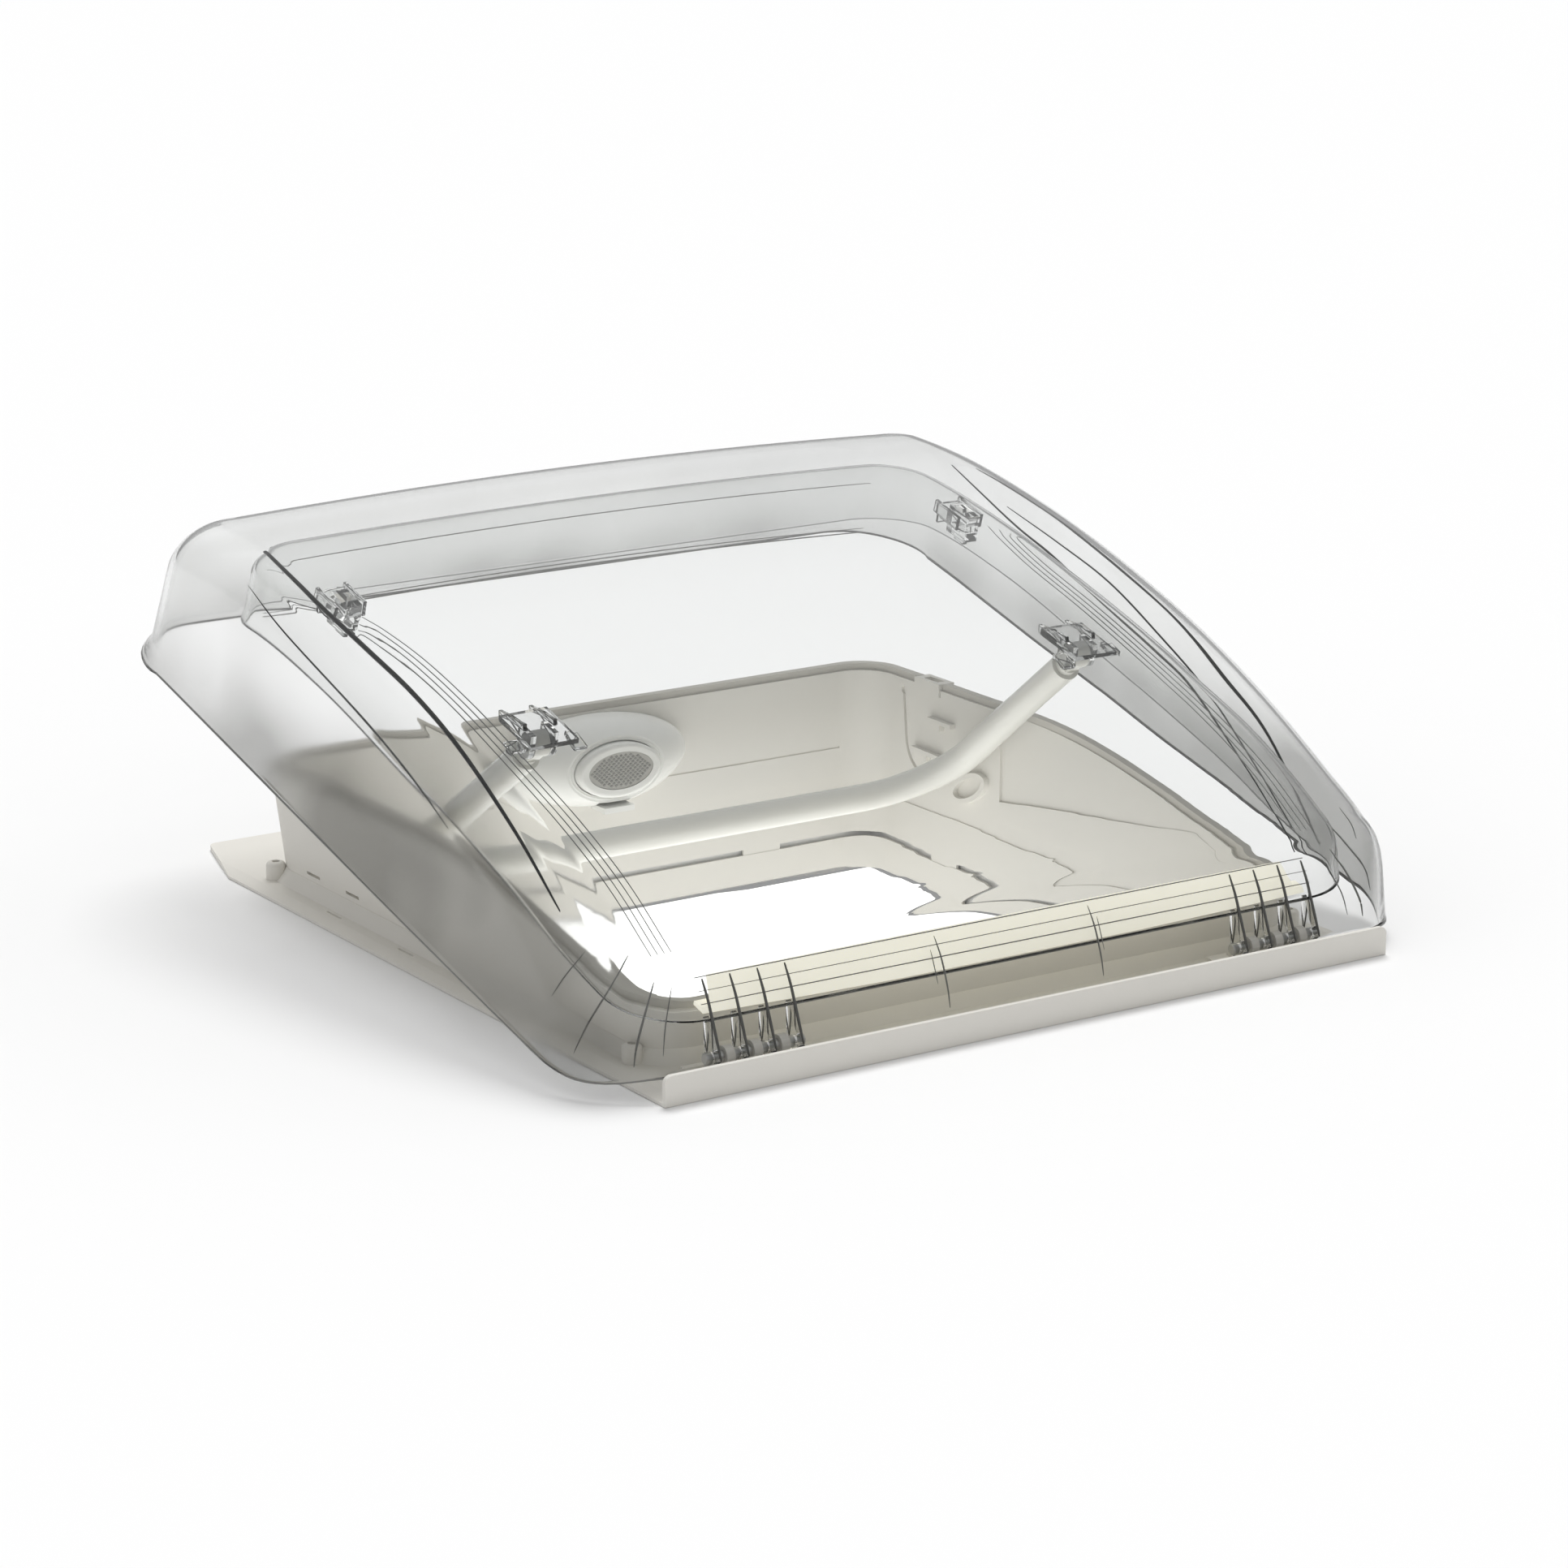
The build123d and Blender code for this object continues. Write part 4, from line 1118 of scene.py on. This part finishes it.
    def clear_tabs(self) -> None:
        """Small clear plates and hooks beside the bow brackets and the rear claws, with painted dark edge
        lines.
        """
        fitting, dark = FINISH.fitting.build(), FINISH.dark_rib_paint.build()
        x, y = self.claw
        tabs = (
            ((163.5, -8, 84), (2.4, 26, 5.0), -12),
            ((181.5, -8, 84), (2.4, 26, 5.0), -12),
            ((190, -26, 79), (9, 9, 2.4), 8),
            ((156, -30, 79), (8, 12, 2.2), 12),
            ((x - 8, y + 6, 84), (2.2, 24, 9), 4),
            ((x + 8, y + 6, 84), (2.2, 24, 9), 4),
            ((x, y + 16, 80), (14, 2.2, 12), 0),
        )
        edges = [
            Thread(((163.5, 5, 83), (163.5, -8, 80.5), (163.5, -21, 78)), 0.4),
            Thread(((181.5, 5, 83), (181.5, -8, 80.5), (181.5, -21, 78)), 0.4),
            Thread(((186, -21, 78), (194, -25, 77.5), (194, -31, 77)), 0.5),
            Thread(((152, -24, 78), (158, -31, 77.5), (159, -36, 77)), 0.4),
            Thread(((194, 150, 79), (196, 138, 78), (200, 128, 78)), 0.5),
            Thread(((210, 152, 79), (209, 142, 77), (204, 134, 76)), 0.45),
        ]
        for side, word in ((-1, "left"), (1, "right")):
            plates = [plate((side * place[0], *place[1:]), size, turn) for place, size, turn in tabs]
            drawn = edges if side > 0 else [edge.mirrored() for edge in edges]
            lid_piece(f"clear_tabs_{word}", plates, fitting, False)
            lid_threads(f"tab_edges_{word}", drawn, dark)

    def rim_line(self) -> None:
        """A painted fine dark line along the outer shell's rim, for the dark that its edge shows by
        refraction.
        """
        outline, normals = self.outer.outline(0.0)
        sunk, raised, stride = 0.3, 0.4, 4
        outline = outline + normals * (self.outer.lip * np.clip(normals[:, 1:], 0, 1) ** 0.5 - sunk)
        picked = outline[::stride]
        heights = self.outer.foot(picked[:, 1])
        knots = tuple((x, y, z + raised) for (x, y), z in zip(picked.tolist(), heights.tolist()))
        lid_threads("rim_line", [Thread(knots, 0.45, steps=3, closed=True)], FINISH.grey_edge_paint.build())

    def build(self) -> None:
        """Builds and dresses the whole lid."""
        self.shells()
        self.painted_edge_lines()
        self.contours()
        self.front_ribs()
        self.clear_tabs()
        self.rim_line()
        self.dress_fittings()


def dress(node: str, material: bpy.types.Material) -> None:
    """Gives a CAD node a finish through its material slots.

    Args:
        node: The CAD node's name.
        material: Its finish.
    """
    piece = frame["nodes"][node]
    if not piece.material_slots:
        piece.data.materials.append(material)
    for slot in piece.material_slots:
        slot.material = material
    log.info("%s is finished in %s", node, material.name)


@dataclass
class FrameBase:
    """The cream frame on the roof, and what is fixed to it."""

    cream_nodes: tuple[str, ...] = (
        "mounting_flange",
        "collar",
        "screw_bosses",
        "claw_keepers",
        "inner_liner",
        "ceiling_frame",
        "liner_clips",
        "bow_socket_left",
        "bow_socket_right",
        "wall_catches",
        "hinge_block_left",
        "hinge_block_right",
    )

    def build(self) -> None:
        """Dresses the frame's CAD pieces."""
        for node in self.cream_nodes:
            dress(node, FINISH.cream.build())
        dress("collar_seal", FINISH.seal.build())
        for node in ("hinge_pin_left", "hinge_pin_right"):
            dress(node, FINISH.steel.build())


@dataclass
class BowAndButton:
    """The prop bow, and the push button with its housing."""

    pad_face_y: float = 160.4
    pad_centre_z: float = 40.0
    pad_reach: tuple[float, float] = (19.6, 9.4)
    pitch: tuple[float, float] = (3.2, 2.9)
    mouth: tuple[float, float] = (30.4, 17.6)
    mouth_y: float = 166.2
    bead: float = 0.7
    pin_ring: float = 2.6
    pin_proud: float = 0.4

    def pad_diamonds(self) -> None:
        """Low diamonds in rows over the button's pad."""
        half_x, half_z, rise = 1.45, 1.2, 0.35
        corners = ((half_x, 0), (0, half_z), (-half_x, 0), (0, -half_z))
        form = np.array([(x, 0.1, z) for x, z in corners] + [(0.5 * x, -rise, 0.5 * z) for x, z in corners])
        sides = [(i, (i + 1) % 4, (i + 1) % 4 + 4, i + 4) for i in range(4)] + [(4, 5, 6, 7), (3, 2, 1, 0)]
        spots = []
        for row in range(-7, 8):
            for column in range(-7, 8):
                x = (column + 0.5 * (row % 2)) * self.pitch[0]
                z = row * self.pitch[1] / 2
                if math.hypot(x / self.pad_reach[0], z / self.pad_reach[1]) < 1:
                    spots.append((x, self.pad_face_y, self.pad_centre_z + z))
        finish = FINISH.diamond.build()
        points, faces = repeated((form, sides), np.array(spots), finish)
        mesh_piece("pad_diamonds", points, faces, finish, Body.BUTTON, False)

    def housing_ring(self) -> None:
        """A fine bead round the button's mouth."""
        wide, tall = self.mouth
        knots = tuple(
            (wide * math.cos(a), self.mouth_y, self.pad_centre_z + tall * math.sin(a))
            for a in np.linspace(0, 2 * np.pi, 40, endpoint=False)
        )
        points, faces = Thread(knots, self.bead, steps=3, closed=True).build()
        mesh_piece("housing_bead", points, faces, FINISH.white.build(), Body.FRAME)

    def bow_screws(self) -> None:
        """A small steel ring round the outer end of each bow pin."""
        for side, word in ((-1, "left"), (1, "right")):
            low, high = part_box(f"bow_pin_{word}")
            y, z = (low[1] + high[1]) / 2 / MM, (low[2] + high[2]) / 2 / MM
            reach = (high[0] if side > 0 else low[0]) / MM
            out, wide = reach + side * self.pin_proud, self.pin_ring
            knots = tuple(
                (out, y + wide * math.cos(a), z + wide * math.sin(a))
                for a in np.linspace(0, 2 * np.pi, 16, endpoint=False)
            )
            points, faces = Thread(knots, self.bead, steps=3, closed=True).build()
            mesh_piece(f"pin_ring_{word}", points, faces, FINISH.steel.build(), Body.LID)

    def build(self) -> None:
        """Dresses the bow's and the button's CAD pieces."""
        for node in ("bow_tube", "bow_eye_left", "bow_eye_right"):
            dress(node, FINISH.bow.build())
        for node in ("lock_housing", "push_button", "latch_tongue"):
            dress(node, FINISH.white.build())
        dress("button_pad", FINISH.pad.build())
        self.pad_diamonds()
        self.housing_ring()
        self.bow_screws()
        dress("button_spring", FINISH.steel.build())


# ---------------------------------------------------------------- studio


@dataclass
class Studio:
    """A pale floor round the frame, soft lights and the camera."""

    azimuth: float = -33.22
    elevation: float = 15.41
    distance: float = 2573.1
    target: tuple[float, float, float] = (0.0, -10.6, 72.5)
    lens: float = 108.9
    hole: float = 201.0
    floor_half: float = 24000.0
    below_share: float = 0.98
    below_glow: float = 0.95
    world_light: float = 0.6
    overhead_power: float = 1.9
    overhead_spread: float = 30.0
    overhead_way: tuple[float, float, float] = (-0.30, -0.42, -1.0)

    def floor(self) -> None:
        """A pale floor with a walled square hole under the frame, and lit ground at the hole's bottom."""
        h, f = self.hole, self.floor_half
        corners = [(-f, -f), (f, -f), (f, f), (-f, f), (-h, -h), (h, -h), (h, h), (-h, h)]
        faces = [(i, (i + 1) % 4, (i + 1) % 4 + 4, i + 4) for i in range(4)]
        faces += [(i + 4, (i + 1) % 4 + 4, (i + 1) % 4 + 8, i + 8) for i in range(4)]
        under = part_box("ceiling_frame")[0][2] / MM - 2.0
        rings = [(x, y, -0.2) for x, y in corners] + [(x, y, under) for x, y in corners[4:]]
        below = [(self.below_share * x, self.below_share * y, under) for x, y in corners[4:]]
        for name, points, shape, glow in (
            ("floor", rings, faces, 0.0),
            ("floor_below", below, [(0, 1, 2, 3)], self.below_glow),
        ):
            mesh = bpy.data.meshes.new(name)
            mesh.from_pydata([tuple(MM * c for c in point) for point in points], [], shape)
            mesh.materials.append(LitFloor(name + "_finish", glow=glow).build())
            piece = bpy.data.objects.new(name, mesh)
            bpy.context.scene.collection.objects.link(piece)

    def overhead(self) -> None:
        """A broad soft light from nearly overhead, a little behind and to the right."""
        lamp = bpy.data.lights.new("overhead", "SUN")
        lamp.energy = self.overhead_power
        lamp.angle = math.radians(self.overhead_spread)
        holder = bpy.data.objects.new("overhead", lamp)
        holder.rotation_euler = Vector(self.overhead_way).to_track_quat("-Z", "Y").to_euler()
        holder.visible_glossy = False
        holder.visible_transmission = False
        bpy.context.scene.collection.objects.link(holder)

    def world(self) -> None:
        """Light from all round: white above, and grey at the sides so that clear edges show."""
        world = bpy.data.worlds.new("studio")
        bpy.context.scene.world = world
        world.use_nodes = True
        tree = world.node_tree
        sky = tree.nodes["Background"]
        sky.inputs["Strength"].default_value = self.world_light
        place = tree.nodes.new("ShaderNodeTexCoord")
        split = tree.nodes.new("ShaderNodeSeparateXYZ")
        ramp = tree.nodes.new("ShaderNodeValToRGB")
        stops = ramp.color_ramp.elements
        stops[0].position, stops[0].color = 0.05, (0.52, 0.52, 0.52, 1.0)
        stops[1].position, stops[1].color = 0.55, (1.0, 1.0, 1.0, 1.0)
        link(tree, place.outputs["Generated"], split.inputs["Vector"])
        link(tree, split.outputs["Z"], ramp.inputs["Fac"])
        link(tree, ramp.outputs["Color"], sky.inputs["Color"])

    def camera(self) -> None:
        """Sets the camera at the viewing angle."""
        data = bpy.data.cameras.new("camera")
        data.lens = self.lens
        data.sensor_width = 36.0
        data.clip_start, data.clip_end = 0.05, 60.0
        holder = bpy.data.objects.new("camera", data)
        az, el = math.radians(self.azimuth), math.radians(self.elevation)
        away = Vector((math.sin(az) * math.cos(el), -math.cos(az) * math.cos(el), math.sin(el)))
        holder.location = (Vector(self.target) + away * self.distance) * MM
        holder.rotation_euler = (-away).to_track_quat("-Z", "Y").to_euler()
        bpy.context.scene.collection.objects.link(holder)
        bpy.context.scene.camera = holder

    def build(self) -> None:
        """Sets up the whole studio."""
        self.world()
        self.floor()
        self.overhead()
        self.camera()
        bpy.context.scene.view_settings.view_transform = "Standard"
        log.info("studio ready")


def main() -> None:
    """Builds every sub-assembly in order."""
    FrameBase().build()
    BowAndButton().build()
    Lid().build()
    Studio().build()


if __name__ == "__main__":
    main()
